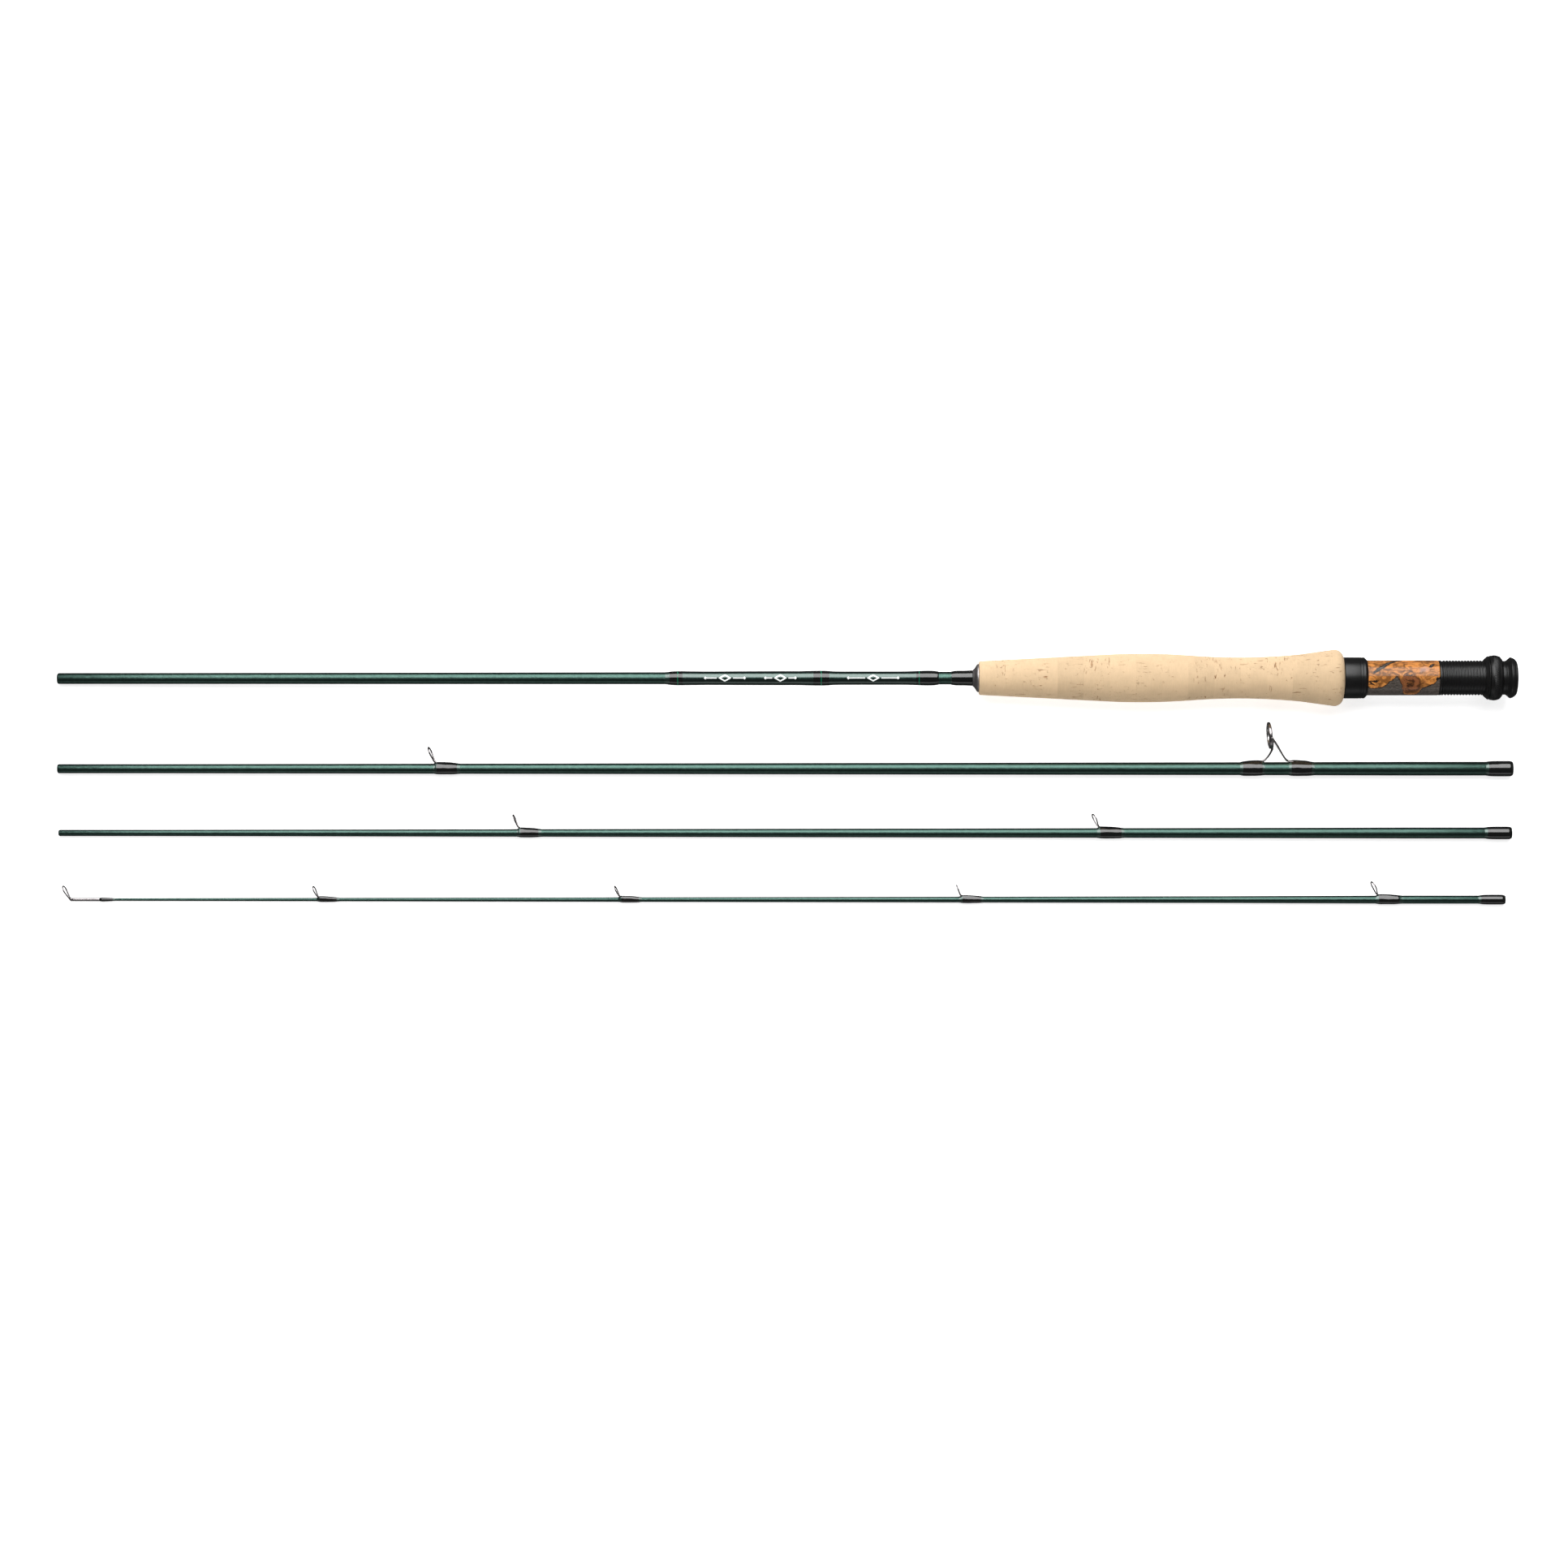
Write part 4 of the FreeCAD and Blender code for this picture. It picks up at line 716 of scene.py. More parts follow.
def burl(sizes, colours):
    """Stabilised burl under gloss varnish: golden figure, red-brown eyes, grey spalted wood
    and the black lines that bound it."""
    sheet = Finish("burl_wood", Roughness=0.46, Coat_Weight=0.42, Coat_Roughness=0.13,
                   Coat_IOR=1.5, Specular_IOR_Level=0.12)
    along, around = sheet.unrolled()
    start = BUTT.span("front_hood")[1]
    where = sheet.space()
    wander = sheet.noise(where, 0.5, detail=5.0, roughness=0.62)
    wander_b = sheet.noise(sheet.shifted(where, (31.0, 17.0, 5.0)), 0.5, detail=5.0,
                           roughness=0.62)
    x = along - start + (wander - 0.5) * 2.6
    y = around + (wander_b - 0.5) * 2.6

    below = sheet.curve(x, SHORE) - y
    turned_away = abs(around).rise(12.4, 14.2)
    beneath = (sheet.noise(sheet.space((0.6, 1.0, 1.0)), 0.12, detail=2.0) - 0.47) * 30.0
    beneath = beneath * turned_away - (1.0 - turned_away) * 20.0
    streak = blob(sheet, x, y, 8.8, 6.9, 6.6, 0.85, 37) * 1.1
    spot = blob(sheet, x, y, 31.6, 6.6, 1.3, 0.55, 40)
    field = (below * (1.0 - turned_away)).most(beneath).most(streak).most(spot)
    grey = field.rise(-0.12, 0.20)
    slit = blob(sheet, x, y, 2.8, -1.9, 3.2, 0.50, 4).most(
        blob(sheet, x, y, 1.6, -3.0, 2.6, 0.42, -28))
    top_slit = blob(sheet, x, y, 4.6, 10.6, 3.6, 0.45, -8)
    wedge = blob(sheet, x, y, 34.4, -0.4, 1.9, 0.60, 28)
    arc = blob(sheet, x, y, 20.2, 1.2, 1.9, 0.42, 10)
    inked = slit.most(top_slit).most(wedge).most(arc).rise(0.0, 0.35)
    line = (abs(field).rise(0.62, 0.08) * 0.85).most(inked)

    swirl = sheet.noise(sheet.space((0.62, 1.0, 1.0)), 0.30, detail=5.0, roughness=0.62,
                        distortion=1.4)
    curl = sheet.noise(sheet.space((0.7, 1.0, 1.0)), 0.85, detail=5.0, roughness=0.68,
                       distortion=1.8)
    fibre = sheet.noise(sheet.space((0.5, 2.2, 2.2)), 1.5, detail=4.0, roughness=0.7)
    gold = sheet.mix(swirl.rise(0.38, 0.60), sheet.tint(colours.burl, 0.38),
                     sheet.tint(colours.burl, 1.25))
    gold = sheet.mix(curl.rise(0.54, 0.68) * 0.60, gold, sheet.tint(colours.burl_red, 1.7))
    pale = blob(sheet, x, y, 27.4, 4.2, 3.4, 2.0, 20).rise(0.0, 0.6)
    gold = sheet.mix(pale * 0.5, gold, (0.36, 0.22, 0.19))
    ragged_x = x + (curl - 0.5) * 7.0
    ragged_y = y + (swirl - 0.5) * 9.0
    eye = blob(sheet, ragged_x, ragged_y, 20.6, -3.4, 6.6, 6.6, 10).rise(-0.12, 0.35)
    foot = blob(sheet, x, y, 21.6, -8.6, 4.6, 3.6).rise(0.0, 0.6) * 0.6
    side = blob(sheet, x, y, 26.6, -2.2, 3.0, 2.2, 30).rise(0.0, 0.8) * 0.7
    crown = blob(sheet, x, y, 18.0, 8.6, 7.5, 1.7, 6).rise(0.0, 0.8) * 0.55
    corner = blob(sheet, x, y, 30.5, 10.0, 5.0, 2.2, -10).rise(0.0, 0.8) * 0.6
    turning = (blob(sheet, ragged_x, ragged_y, 20.4, -3.2, 1.0, 1.0) * 1.3 + curl * 9.0).sine()
    red = sheet.mix(turning.rise(-0.4, 0.9), sheet.tint(colours.burl_red, 0.28),
                    sheet.tint(colours.burl_red, 1.5))
    brown = eye.most(foot).most(side).most(crown).most(corner) * (0.55 + curl * 0.8)
    gold = sheet.mix(brown.least(1.0), gold, red)
    ash = sheet.mix(fibre.rise(0.36, 0.66), sheet.tint(colours.burl_grey, 0.55),
                    sheet.tint(colours.burl_grey, 1.55))
    wood = sheet.mix(grey, gold, ash)
    ink = sheet.mix((line * (0.75 + curl * 0.8)).least(1.0), wood, (0.010, 0.007, 0.005))
    sheet.feed("Base Color", sheet.tint(ink, fibre * 0.4 + 0.80))
    sheet.feed("Normal", sheet.bump(fibre * 0.4 - line, 0.00002))
    return sheet.material


def anodised(sizes, colours):
    """Satin black anodised aluminium with fine turning marks and faintly rubbed patches."""
    sheet = Finish("black_anodised", Metallic=0.20, Coat_Weight=0.0, Specular_IOR_Level=0.46)
    along, around = sheet.unrolled()
    marks = sheet.noise(sheet.vector(along * 9.0, around * 0.05, 0.0), 1.0, detail=3.0)
    rubbed = sheet.noise(sheet.space(), 0.35, detail=4.0, roughness=0.6)
    sheet.feed("Base Color", sheet.tint(colours.anodised, rubbed * 0.9 + 0.55))
    sheet.feed("Roughness", 0.27 + rubbed * 0.09 + marks * 0.06)
    sheet.feed("Normal", sheet.bump(marks, 0.000012))
    return sheet.material


def nickel(sizes, colours):
    """Dark nickel of the winding check, turned and lightly polished."""
    sheet = Finish("dark_nickel", Metallic=1.0)
    along, around = sheet.unrolled()
    marks = sheet.noise(sheet.vector(along * 14.0, around * 0.06, 0.0), 1.0, detail=3.0)
    cloud = sheet.noise(sheet.space(), 0.8, detail=3.0)
    sheet.feed("Base Color", sheet.tint(colours.nickel, cloud * 0.5 + 0.78))
    sheet.feed("Roughness", 0.44 + marks * 0.12)
    sheet.feed("Normal", sheet.bump(marks, 0.00001))
    return sheet.material


def guide_wire(sizes, colours):
    """Hard-chromed wire: polished, with faint drawing marks and darker clouds."""
    sheet = Finish("guide_wire", Metallic=1.0)
    where = sheet.space()
    cloud = sheet.noise(where, 0.9, detail=3.0)
    marks = sheet.noise(sheet.space((4.0, 1.2, 4.0)), 3.0, detail=2.0)
    sheet.feed("Base Color", sheet.tint(colours.wire, cloud * 0.7 + 0.62))
    sheet.feed("Roughness", 0.20 + marks * 0.10)
    sheet.feed("Normal", sheet.bump(marks, 0.000008))
    return sheet.material


def ring_insert(sizes, colours):
    """Mirror-polished ring of the first guide."""
    sheet = Finish("ring_insert", Metallic=1.0)
    cloud = sheet.noise(sheet.space(), 1.2, detail=3.0)
    sheet.feed("Base Color", sheet.tint(colours.ring, cloud * 0.25 + 0.86))
    sheet.feed("Roughness", 0.20 + cloud * 0.12)
    sheet.feed("Normal", sheet.bump(cloud, 0.000006))
    return sheet.material


def arbor_foam(sizes, colours):
    """Dense foam bushings inside the reel seat."""
    sheet = Finish("arbor_foam", Roughness=0.9)
    cells = sheet.cells(sheet.space(), 3.0)
    sheet.feed("Base Color", sheet.mix(cells.rise(0.1, 0.6), (0.30, 0.28, 0.22),
                                       (0.62, 0.58, 0.46)))
    sheet.feed("Normal", sheet.bump(cells, 0.00015))
    return sheet.material


def pale_floor(sizes, colours):
    """Matt paper sweep."""
    sheet = Finish("pale_floor", Roughness=0.9, Specular_IOR_Level=0.2,
                   Emission_Color=colours.floor, Emission_Strength=0.62)
    fibre = sheet.noise(sheet.space(), 0.5, detail=3.0)
    sheet.feed("Base Color", sheet.tint(colours.floor, fibre * 0.02 + 0.99))
    return sheet.material


# ---------------------------------------------------------------- the pieces

# One wire guide per entry: its section, the section's name, its height along the lean, its
# lean towards the tip, the radius of its loop and of its wire, and how far the loop was
# turned on its foot when it was bound, in millimetres and degrees.
WIRE_GUIDES = {
    "lower_mid_guide": (LOWER_MID, "lower_mid", 9.1, 23.0, 2.75, 0.38, -4.0),
    "upper_mid_guide_1": (UPPER_MID, "upper_mid", 7.9, 22.6, 2.35, 0.32, -3.0),
    "upper_mid_guide_2": (UPPER_MID, "upper_mid", 7.7, 23.0, 2.3, 0.32, 17.0),
    "tip_guide_1": (TIP, "tip", 6.7, 23.0, 2.0, 0.32, -3.0),
    "tip_guide_2": (TIP, "tip", 6.6, 25.0, 2.0, 0.32, 0.0),
    "tip_guide_3": (TIP, "tip", 6.6, 19.5, 2.0, 0.32, 7.0),
    "tip_guide_4": (TIP, "tip", 8.1, 22.0, 2.3, 0.32, 24.0),
}

# The epoxy's outside along the butt's label, from the grip's front face back: the distance
# ahead of the face, and the radius.
LABEL_COAT = [
    (155.6, 3.02), (154.6, 3.10), (153.6, 3.26), (152.2, 3.42), (150.0, 3.51), (147.4, 3.51),
    (142.6, 3.45), (133.0, 3.38), (122.0, 3.44), (100.0, 3.50), (90.0, 3.50), (84.6, 3.62),
    (80.0, 3.70), (77.0, 3.70), (74.9, 3.62), (72.4, 3.43), (69.0, 3.35), (55.0, 3.34),
    (39.0, 3.35), (33.8, 3.42), (29.4, 3.59), (26.6, 3.68), (24.2, 3.69), (22.0, 3.59),
    (20.6, 3.40), (19.9, 3.20)]

GRIP_WRAP = [(13.9, 3.22), (13.4, 3.36), (12.4, 3.55), (11.0, 3.66), (7.0, 3.70), (5.2, 3.78),
             (3.3, 3.86)]


def hollow(section, node, outline, steps=ROUND):
    """A turned shell with the given outside and the node's own bore."""
    bore = section.corners(node, outside=False)
    start, end = outline[0][0], outline[-1][0]
    inside = [(end, between(bore, end))]
    inside += [corner for corner in reversed(bore) if start + 0.3 < corner[0] < end - 0.3]
    inside.append((start, between(bore, start)))
    return turned(outline + inside, steps)


def wrap_shell(section, blank, start, end, outline):
    """A wrap's epoxy, with the blank's outside as its bore."""
    under = section.corners(blank)
    bore = [(end, between(under, end)), ((start + end) / 2, between(under, (start + end) / 2)),
            (start, between(under, start))]
    return turned(outline + [(x, radius + BORE_GAP) for x, radius in bore], ROUND)


class RodOperator:
    """What every operator here shares: it builds its pieces and reports that it has."""

    bl_options = {"REGISTER", "UNDO"}

    def execute(self, context):
        self.build(context)
        return {"FINISHED"}


class FLYROD_OT_blanks(RodOperator, bpy.types.Operator):
    """Build the four lacquered blanks"""

    bl_idname = "flyrod.blanks"
    bl_label = "Lacquered blanks"

    def build(self, context):
        for section, node in ((BUTT, "butt_blank"), (LOWER_MID, "lower_mid_blank"),
                              (UPPER_MID, "upper_mid_blank")):
            outside = section.corners(node)
            bore = section.corners(node, outside=False)
            first, last = outside[0], outside[-1]
            round_in = [(0.0, first[1] - 0.62), (0.10, first[1] - 0.34), (0.34, first[1] - 0.11),
                        (0.75, first[1] - 0.01)]
            round_out = [(last[0] - 0.30, last[1]), (last[0] - 0.08, last[1] - 0.06),
                         (last[0], last[1] - 0.16)]
            outline = round_in + outside[1:-1] + round_out + bore[::-1]
            bm = turned(outline, ROUND)
            settle(bm, node + "_lacquered", section, lacquer, node, first[1])
        outside = TIP.corners("tip_blank")
        bore = [corner for corner in TIP.corners("tip_blank", outside=False) if corner[1] > 0.01]
        last = outside[-1]
        head = [(0.0, 0.0), (0.0, outside[0][1] - 0.1), (0.1, outside[0][1])]
        tail = [(last[0] - 0.30, last[1]), (last[0] - 0.08, last[1] - 0.05),
                (last[0], last[1] - 0.13)]
        core = [(150.0, 0.0)]
        bm = turned(head + outside[1:-1] + tail + bore[::-1] + core, ROUND, closed=False)
        settle(bm, "tip_blank_lacquered", TIP, lacquer, "tip_blank", last[1])


class FLYROD_OT_label(RodOperator, bpy.types.Operator):
    """Build the label's clear coat, the wraps around it and their bright trim"""

    bl_idname = "flyrod.label"
    bl_label = "Label wraps and coat"

    def build(self, context):
        face = BUTT.span("cork_ring_01")[0]
        coat = [(face - back, radius) for back, radius in LABEL_COAT]
        skin = flowing(coat, 0.5)
        for node in ("label_front_wrap", "label_middle_wrap", "label_rear_wrap"):
            start, end = BUTT.span(node)
            first = skin[0][0] if node == "label_front_wrap" else start
            last = skin[-1][0] if node == "label_rear_wrap" else end
            outline = stretch(skin, first, last)
            bm = wrap_shell(BUTT, "butt_blank", first, last, outline)
            wound = start + (0.2 if node == "label_front_wrap" else 0.0)
            cover(bm, "thread", lambda x, y, z: 1.0 if wound <= x <= end + 0.01 else 0.0)
            settle(bm, node + "_epoxied", BUTT, thread_wrap, node,
                   outline[len(outline) // 2][1])
        shells = []
        for before, after in (("label_front_wrap", "label_middle_wrap"),
                              ("label_middle_wrap", "label_rear_wrap")):
            start, end = BUTT.span(before)[1], BUTT.span(after)[0]
            shells.append(wrap_shell(BUTT, "butt_blank", start, end,
                                     stretch(skin, start, end)))
        bm = gather(*shells)
        settle(bm, "label_clear_coat", BUTT, coated_lacquer, "label_coat", 3.4)
        start, end = BUTT.span("grip_wrap")
        outline = flowing([(face - back, radius) for back, radius in GRIP_WRAP], 0.4)
        outline = [point for point in outline if point[0] < end] + [(end, GRIP_WRAP[-1][1])]
        bm = wrap_shell(BUTT, "butt_blank", outline[0][0], end, outline)
        cover(bm, "thread", lambda x, y, z: 1.0 if x > start + 0.1 else 0.0)
        settle(bm, "grip_wrap_epoxied", BUTT, thread_wrap, "grip_wrap", 3.6)
        bands = []
        corners = BUTT.corners("trim_bands")
        places = sorted(set(x for x, _ in corners))
        for start, end in zip(places[0::2], places[1::2]):
            middle = (start + end) / 2
            half = (end - start) * 0.24
            proud = 0.012
            outline = [(middle - half, between(skin, middle - half) - 0.03),
                       (middle - half * 0.8, between(skin, middle - half * 0.8) + proud),
                       (middle + half * 0.8, between(skin, middle + half * 0.8) + proud),
                       (middle + half, between(skin, middle + half) - 0.03)]
            low = between(skin, middle) - 0.12
            bands.append(turned(outline + [(middle + half, low), (middle - half, low)]))
        bm = gather(*bands)
        settle(bm, "trim_bands_wound", BUTT, trim_thread, "trim_bands", 3.6)


class FLYROD_OT_ferrule_wraps(RodOperator, bpy.types.Operator):
    """Build the wraps that strengthen the three sockets"""

    bl_idname = "flyrod.ferrule_wraps"
    bl_label = "Ferrule wraps"

    def build(self, context):
        for section, word in ((LOWER_MID, "lower_mid"), (UPPER_MID, "upper_mid"), (TIP, "tip")):
            node = word + "_ferrule_wrap"
            start, end = section.span(node)
            under = section.corners(word + "_blank")
            full = max(radius for _, radius in section.corners(node))
            base = between(under, start)
            rise = full - base
            outline = flowing([
                (start - 1.0, base + 0.01), (start - 0.4, base + rise * 0.12),
                (start + 0.6, base + rise * 0.55), (start + 2.4, base + rise * 0.88),
                (start + 5.5, full), (end - 2.2, full - rise * 0.02),
                (end - 0.9, full - rise * 0.12), (end - 0.3, full - rise * 0.45),
                (end, full - rise * 0.8)], 0.35)
            bm = wrap_shell(section, word + "_blank", start - 1.0, end, outline)
            cover(bm, "thread", lambda x, y, z: 1.0 if x > start + 0.3 else 0.0)
            settle(bm, node + "_epoxied", section, thread_wrap, node, full)


def ridge(bm, seat, heights, half_width):
    """Lifts a wrap over a guide's foot: heights are (x, lift) along it."""
    for vert in bm.verts:
        x, y, z = vert.co
        radius = math.hypot(y, z)
        if radius < seat + 0.008:
            continue
        turn = math.atan2(y, z)
        lift = between(heights, x) if heights[0][0] < x < heights[-1][0] else 0.0
        bell = math.exp(-((turn * seat / half_width) ** 2))
        scale = 1 + lift * bell / radius
        vert.co.y = y * scale
        vert.co.z = z * scale


def uneven(bm, seat, swing):
    """Gives poured epoxy its faint lumps: the skin rises and falls by swing millimetres."""
    for vert in bm.verts:
        x, y, z = vert.co
        radius = math.hypot(y, z)
        if radius < seat + 0.02:
            continue
        share = min(1.0, (radius - seat) / 0.2)
        lump = noise.noise(Vector((x * 0.30, y * 0.55, z * 0.55)))
        scale = 1 + swing * share * lump / radius
        vert.co.y = y * scale
        vert.co.z = z * scale


def foot_wrap_piece(node, section, blank, start, end, thickness, heights, half_width,
                    thread_start, thread_end):
    """A wrap over a guide's foot, with its epoxy running out to the blank at both ends."""
    under = section.corners(blank)
    base_start, base_end = between(under, start), between(under, end)
    run = end - start
    outline = flowing([
        (start, base_start + 0.012), (start + run * 0.05, base_start + thickness * 0.30),
        (start + run * 0.13, base_start + thickness * 0.85),
        (start + run * 0.30, base_start + thickness * 1.08),
        (start + run * 0.60, base_start + thickness),
        (start + run * 0.82, base_end + thickness * 0.62),
        (start + run * 0.94, base_end + thickness * 0.20), (end, base_end + 0.012)], 0.3)
    bm = wrap_shell(section, blank, start, end, outline)
    ridge(bm, max(base_start, base_end) + BORE_GAP, heights, half_width)
    uneven(bm, max(base_start, base_end), 0.07)
    cover(bm, "thread", lambda x, y, z: 1.0 if thread_start < x < thread_end else 0.0)
    settle(bm, node + "_epoxied", section, thread_wrap, node, base_start + thickness)


def pear(height, loop, wire, spread, steps=30):
    """A pear-shaped loop in its own plane, (across, up) from its right foot to its left."""
    centre = height - loop - wire
    span = math.hypot(centre, spread)
    turn = math.asin(loop / span) - math.atan2(spread, centre)
    leg = math.sqrt(span * span - loop * loop)
    side, rise = spread + leg * math.sin(turn), leg * math.cos(turn)
    start = math.atan2(rise - centre, side)
    arc = [start + (math.pi - 2 * start) * k / steps for k in range(steps + 1)]
    legs = [(spread + (side - spread) * k / 8, rise * k / 8) for k in range(8)]
    round_part = [(loop * math.cos(a), centre + loop * math.sin(a)) for a in arc]
    return legs + round_part + [(-across, up) for across, up in reversed(legs)]


def softened(path, reach):
    """A path with its two sharpest bends, at the feet, rounded by averaging neighbours."""
    points = [Vector(point) for point in path]
    for _ in range(reach):
        points = [points[0]] + [
            points[i] * 0.5 + (points[i - 1] + points[i + 1]) * 0.25
            for i in range(1, len(points) - 1)] + [points[-1]]
    return [tuple(point) for point in points]


class FLYROD_OT_wire_guides(RodOperator, bpy.types.Operator):
    """Build the seven single-foot wire guides and their wraps"""

    bl_idname = "flyrod.wire_guides"
    bl_label = "Wire guides"

    def build(self, context):
        for node, entry in WIRE_GUIDES.items():
            section, word, height, lean, loop, wire, turn = entry
            wrap_start, wrap_end = section.span(node + "_wrap")
            x = wrap_start - WIRE_LEAD
            wrap = wrap_end - x
            blank = word + "_blank"
            seat = between(section.corners(blank), x + wrap / 2)
            lean = math.radians(lean)
            toe = x + wrap - 1.2
            spread = wire * 1.04
            base = seat + 0.12 + wire * 0.5
            foot = [(toe - (toe - x - 0.35) * k / 10, spread, base, 1.0) for k in range(11)]
            turn = math.radians(turn)
            ring = [(x - up * math.sin(lean) - across * math.sin(turn), across * math.cos(turn),
                     seat + 0.12 + up * math.cos(lean), 1.0)
                    for across, up in pear(height, loop, wire, spread)]
            ring = [point for point in ring if point[2] > base + 0.35]
            back = [(px, -py, pz, share) for px, py, pz, share in reversed(foot)]
            bm = tube(softened(foot + ring + back, 2), wire)
            for vert in bm.verts:
                if vert.co.x > x + 0.9:
                    share = (vert.co.x - x - 0.9) / (toe - x - 0.9)
                    flat = 0.86 - 0.62 * share
                    vert.co.z = seat + 0.02 + (vert.co.z - seat - 0.02) * flat
            settle(bm, node + "_wire", section, guide_wire, node)
            tall = 0.66 if wire > 0.35 else 0.62
            heights = [(x - 0.9, 0.0), (x - 0.3, tall * 0.55), (x + 0.5, tall * 0.95),
                       (x + wrap * 0.55, tall * 0.62), (x + wrap * 0.88, tall * 0.16),
                       (x + wrap + 0.3, 0.0)]
            foot_wrap_piece(node + "_wrap", section, blank, x - 0.9, x + wrap + 0.5, 0.33,
                            heights, 1.0 if seat > 1.5 else 0.75, x + 0.75, x + wrap - 0.9)


class FLYROD_OT_stripping_guide(RodOperator, bpy.types.Operator):
    """Build the first guide: its frame, its polished ring and the wraps over its feet"""

    bl_idname = "flyrod.stripping_guide"
    bl_label = "Stripping guide"

    def build(self, context):
        ring_node = "stripping_guide_ring"
        middle = LOWER_MID.back @ centroid(ring_node)
        bore = MOUNTS["stripping_guide_bore"]
        axis = (LOWER_MID.back.to_3x3() @ Vector(bore["axis"])).normalized()
        lean = -math.atan2(axis.z, axis.x)
        tilt = Matrix.Translation((middle.x, 0, middle.z)) @ Matrix.Rotation(lean, 4, "Y")
        inner = bore["dims"]["r_mm"]
        outer = inner + 1.4
        half = 0.95
        section = eased([(0.0, inner), (-half * 0.55, inner + 0.03), (-half, inner + 0.42),
                         (-half, outer - 0.5), (-half * 0.6, outer), (half * 0.6, outer),
                         (half, outer - 0.5), (half, inner + 0.42), (half * 0.55, inner + 0.03),
                         (0.0, inner)], 0.25)[:-1]
        bm = turned(section, 64)
        bmesh.ops.transform(bm, matrix=tilt, verts=bm.verts)
        settle(bm, ring_node + "_polished", LOWER_MID, ring_insert, ring_node)

        rim = outer + 0.65
        hoop_section = eased([(0.0, outer + 0.01), (-0.65, outer + 0.01), (-0.72, outer + 0.3),
                              (-0.5, rim), (0.5, rim), (0.72, outer + 0.3),
                              (0.65, outer + 0.01), (0.0, outer + 0.01)], 0.18)[:-1]
        hoop = turned(hoop_section, 64)
        bmesh.ops.transform(hoop, matrix=tilt, verts=hoop.verts)
        under = LOWER_MID.corners("lower_mid_blank")
        seat = between(under, middle.x)
        bottom = tilt @ Vector((0, 0, -(rim - 0.25)))
        x = middle.x
        front = [(bottom.x + 0.55, 0, bottom.z + 0.9), (bottom.x + 0.85, 0, bottom.z - 0.2),
                 (bottom.x + 0.55, 0, bottom.z - 1.4), (x - 0.1, 0, seat + 3.5),
                 (x - 1.5, 0, seat + 1.8), (x - 2.7, 0, seat + 0.85), (x - 4.4, 0, seat + 0.52),
                 (x - 7.5, 0, seat + 0.42), (x - 12.6, 0, seat + 0.14)]
        legs = [(front, [0.8, 0.9, 0.74, 0.64, 0.64, 0.76, 0.82, 0.78, 0.5])]
        for side in (1, -1):
            shoulder = tilt @ Vector((0.55, side * (rim - 0.30), -0.6))
            legs.append(([
                (shoulder.x - 0.3, shoulder.y, shoulder.z + 0.6),
                (shoulder.x + 0.35, shoulder.y, shoulder.z - 0.4),
                (x + 3.4, side * 4.7, seat + 9.2), (x + 5.9, side * 2.7, seat + 5.0),
                (x + 8.0, side * 0.95, seat + 1.8), (x + 9.1, side * 0.42, seat + 0.85),
                (x + 11.0, side * 0.42, seat + 0.55), (x + 15.0, side * 0.42, seat + 0.42),
                (x + 20.4, side * 0.35, seat + 0.14)],
                [0.7, 0.85, 0.72, 0.62, 0.66, 0.74, 0.80, 0.76, 0.5]))
        web = [(rim - 0.5) * Vector((0, math.sin(a), -math.cos(a)))
               for a in (math.radians(-78 + 13 * k) for k in range(13))]
        web = [tilt @ (point + Vector((0.62, 0, 0))) for point in web]
        parts = [hoop, tube([(*point, 1.0) for point in web], 0.62, 16)]
        for points, shares in legs:
            path = self.sampled(points, shares)
            parts.append(tube(path, 0.65, 16))
        bm = gather(*parts)
        for vert in bm.verts:
            foot = vert.co.x < x - 3.2 or vert.co.x > x + 9.6
            if foot and vert.co.z < seat + 1.6:
                vert.co.z = seat + 0.05 + max(vert.co.z - seat + 0.05, 0.0) * 0.72
                vert.co.y *= 1.35
        settle(bm, "stripping_guide_frame_wire", LOWER_MID, guide_wire,
               "stripping_guide_frame")

        for node, thread in (("stripping_front_wrap", (0.9, -0.3)),
                             ("stripping_rear_wrap", (0.3, -0.9))):
            start, end = LOWER_MID.span(node)
            tall = 0.78
            if node == "stripping_front_wrap":
                lead, tail = 0.5, 0.9
                heights = [(start - lead, 0.0), (start + 1.2, 0.10), (start + 4.0, 0.46),
                           (end - 1.5, tall), (end + 0.2, tall * 0.9), (end + tail, 0.0)]
            else:
                lead, tail = 0.9, 0.5
                heights = [(start - lead, 0.0), (start - 0.2, tall * 0.9), (start + 1.5, tall),
                           (end - 4.0, 0.46), (end - 1.2, 0.10), (end + tail, 0.0)]
            foot_wrap_piece(node, LOWER_MID, "lower_mid_blank", start - lead, end + tail, 0.36,
                            heights, 1.25, start + thread[0], end + thread[1])

    @staticmethod
    def sampled(points, shares, steps=6):
        """A smooth path through the points, with the wire's thickness flowing along it."""
        rows = [Vector((*point, share)) for point, share in zip(points, shares)]
        path = []
        for i in range(len(rows) - 1):
            before, after = rows[max(i - 1, 0)], rows[min(i + 2, len(rows) - 1)]
            for k in range(steps):
                t = k / steps
                path.append(tuple(
                    rows[i] * (2 * t ** 3 - 3 * t ** 2 + 1)
                    + (rows[i + 1] - before) * 0.5 * (t ** 3 - 2 * t ** 2 + t)
                    + rows[i + 1] * (3 * t ** 2 - 2 * t ** 3)
                    + (after - rows[i]) * 0.5 * (t ** 3 - t ** 2)))
        return path + [tuple(rows[-1])]


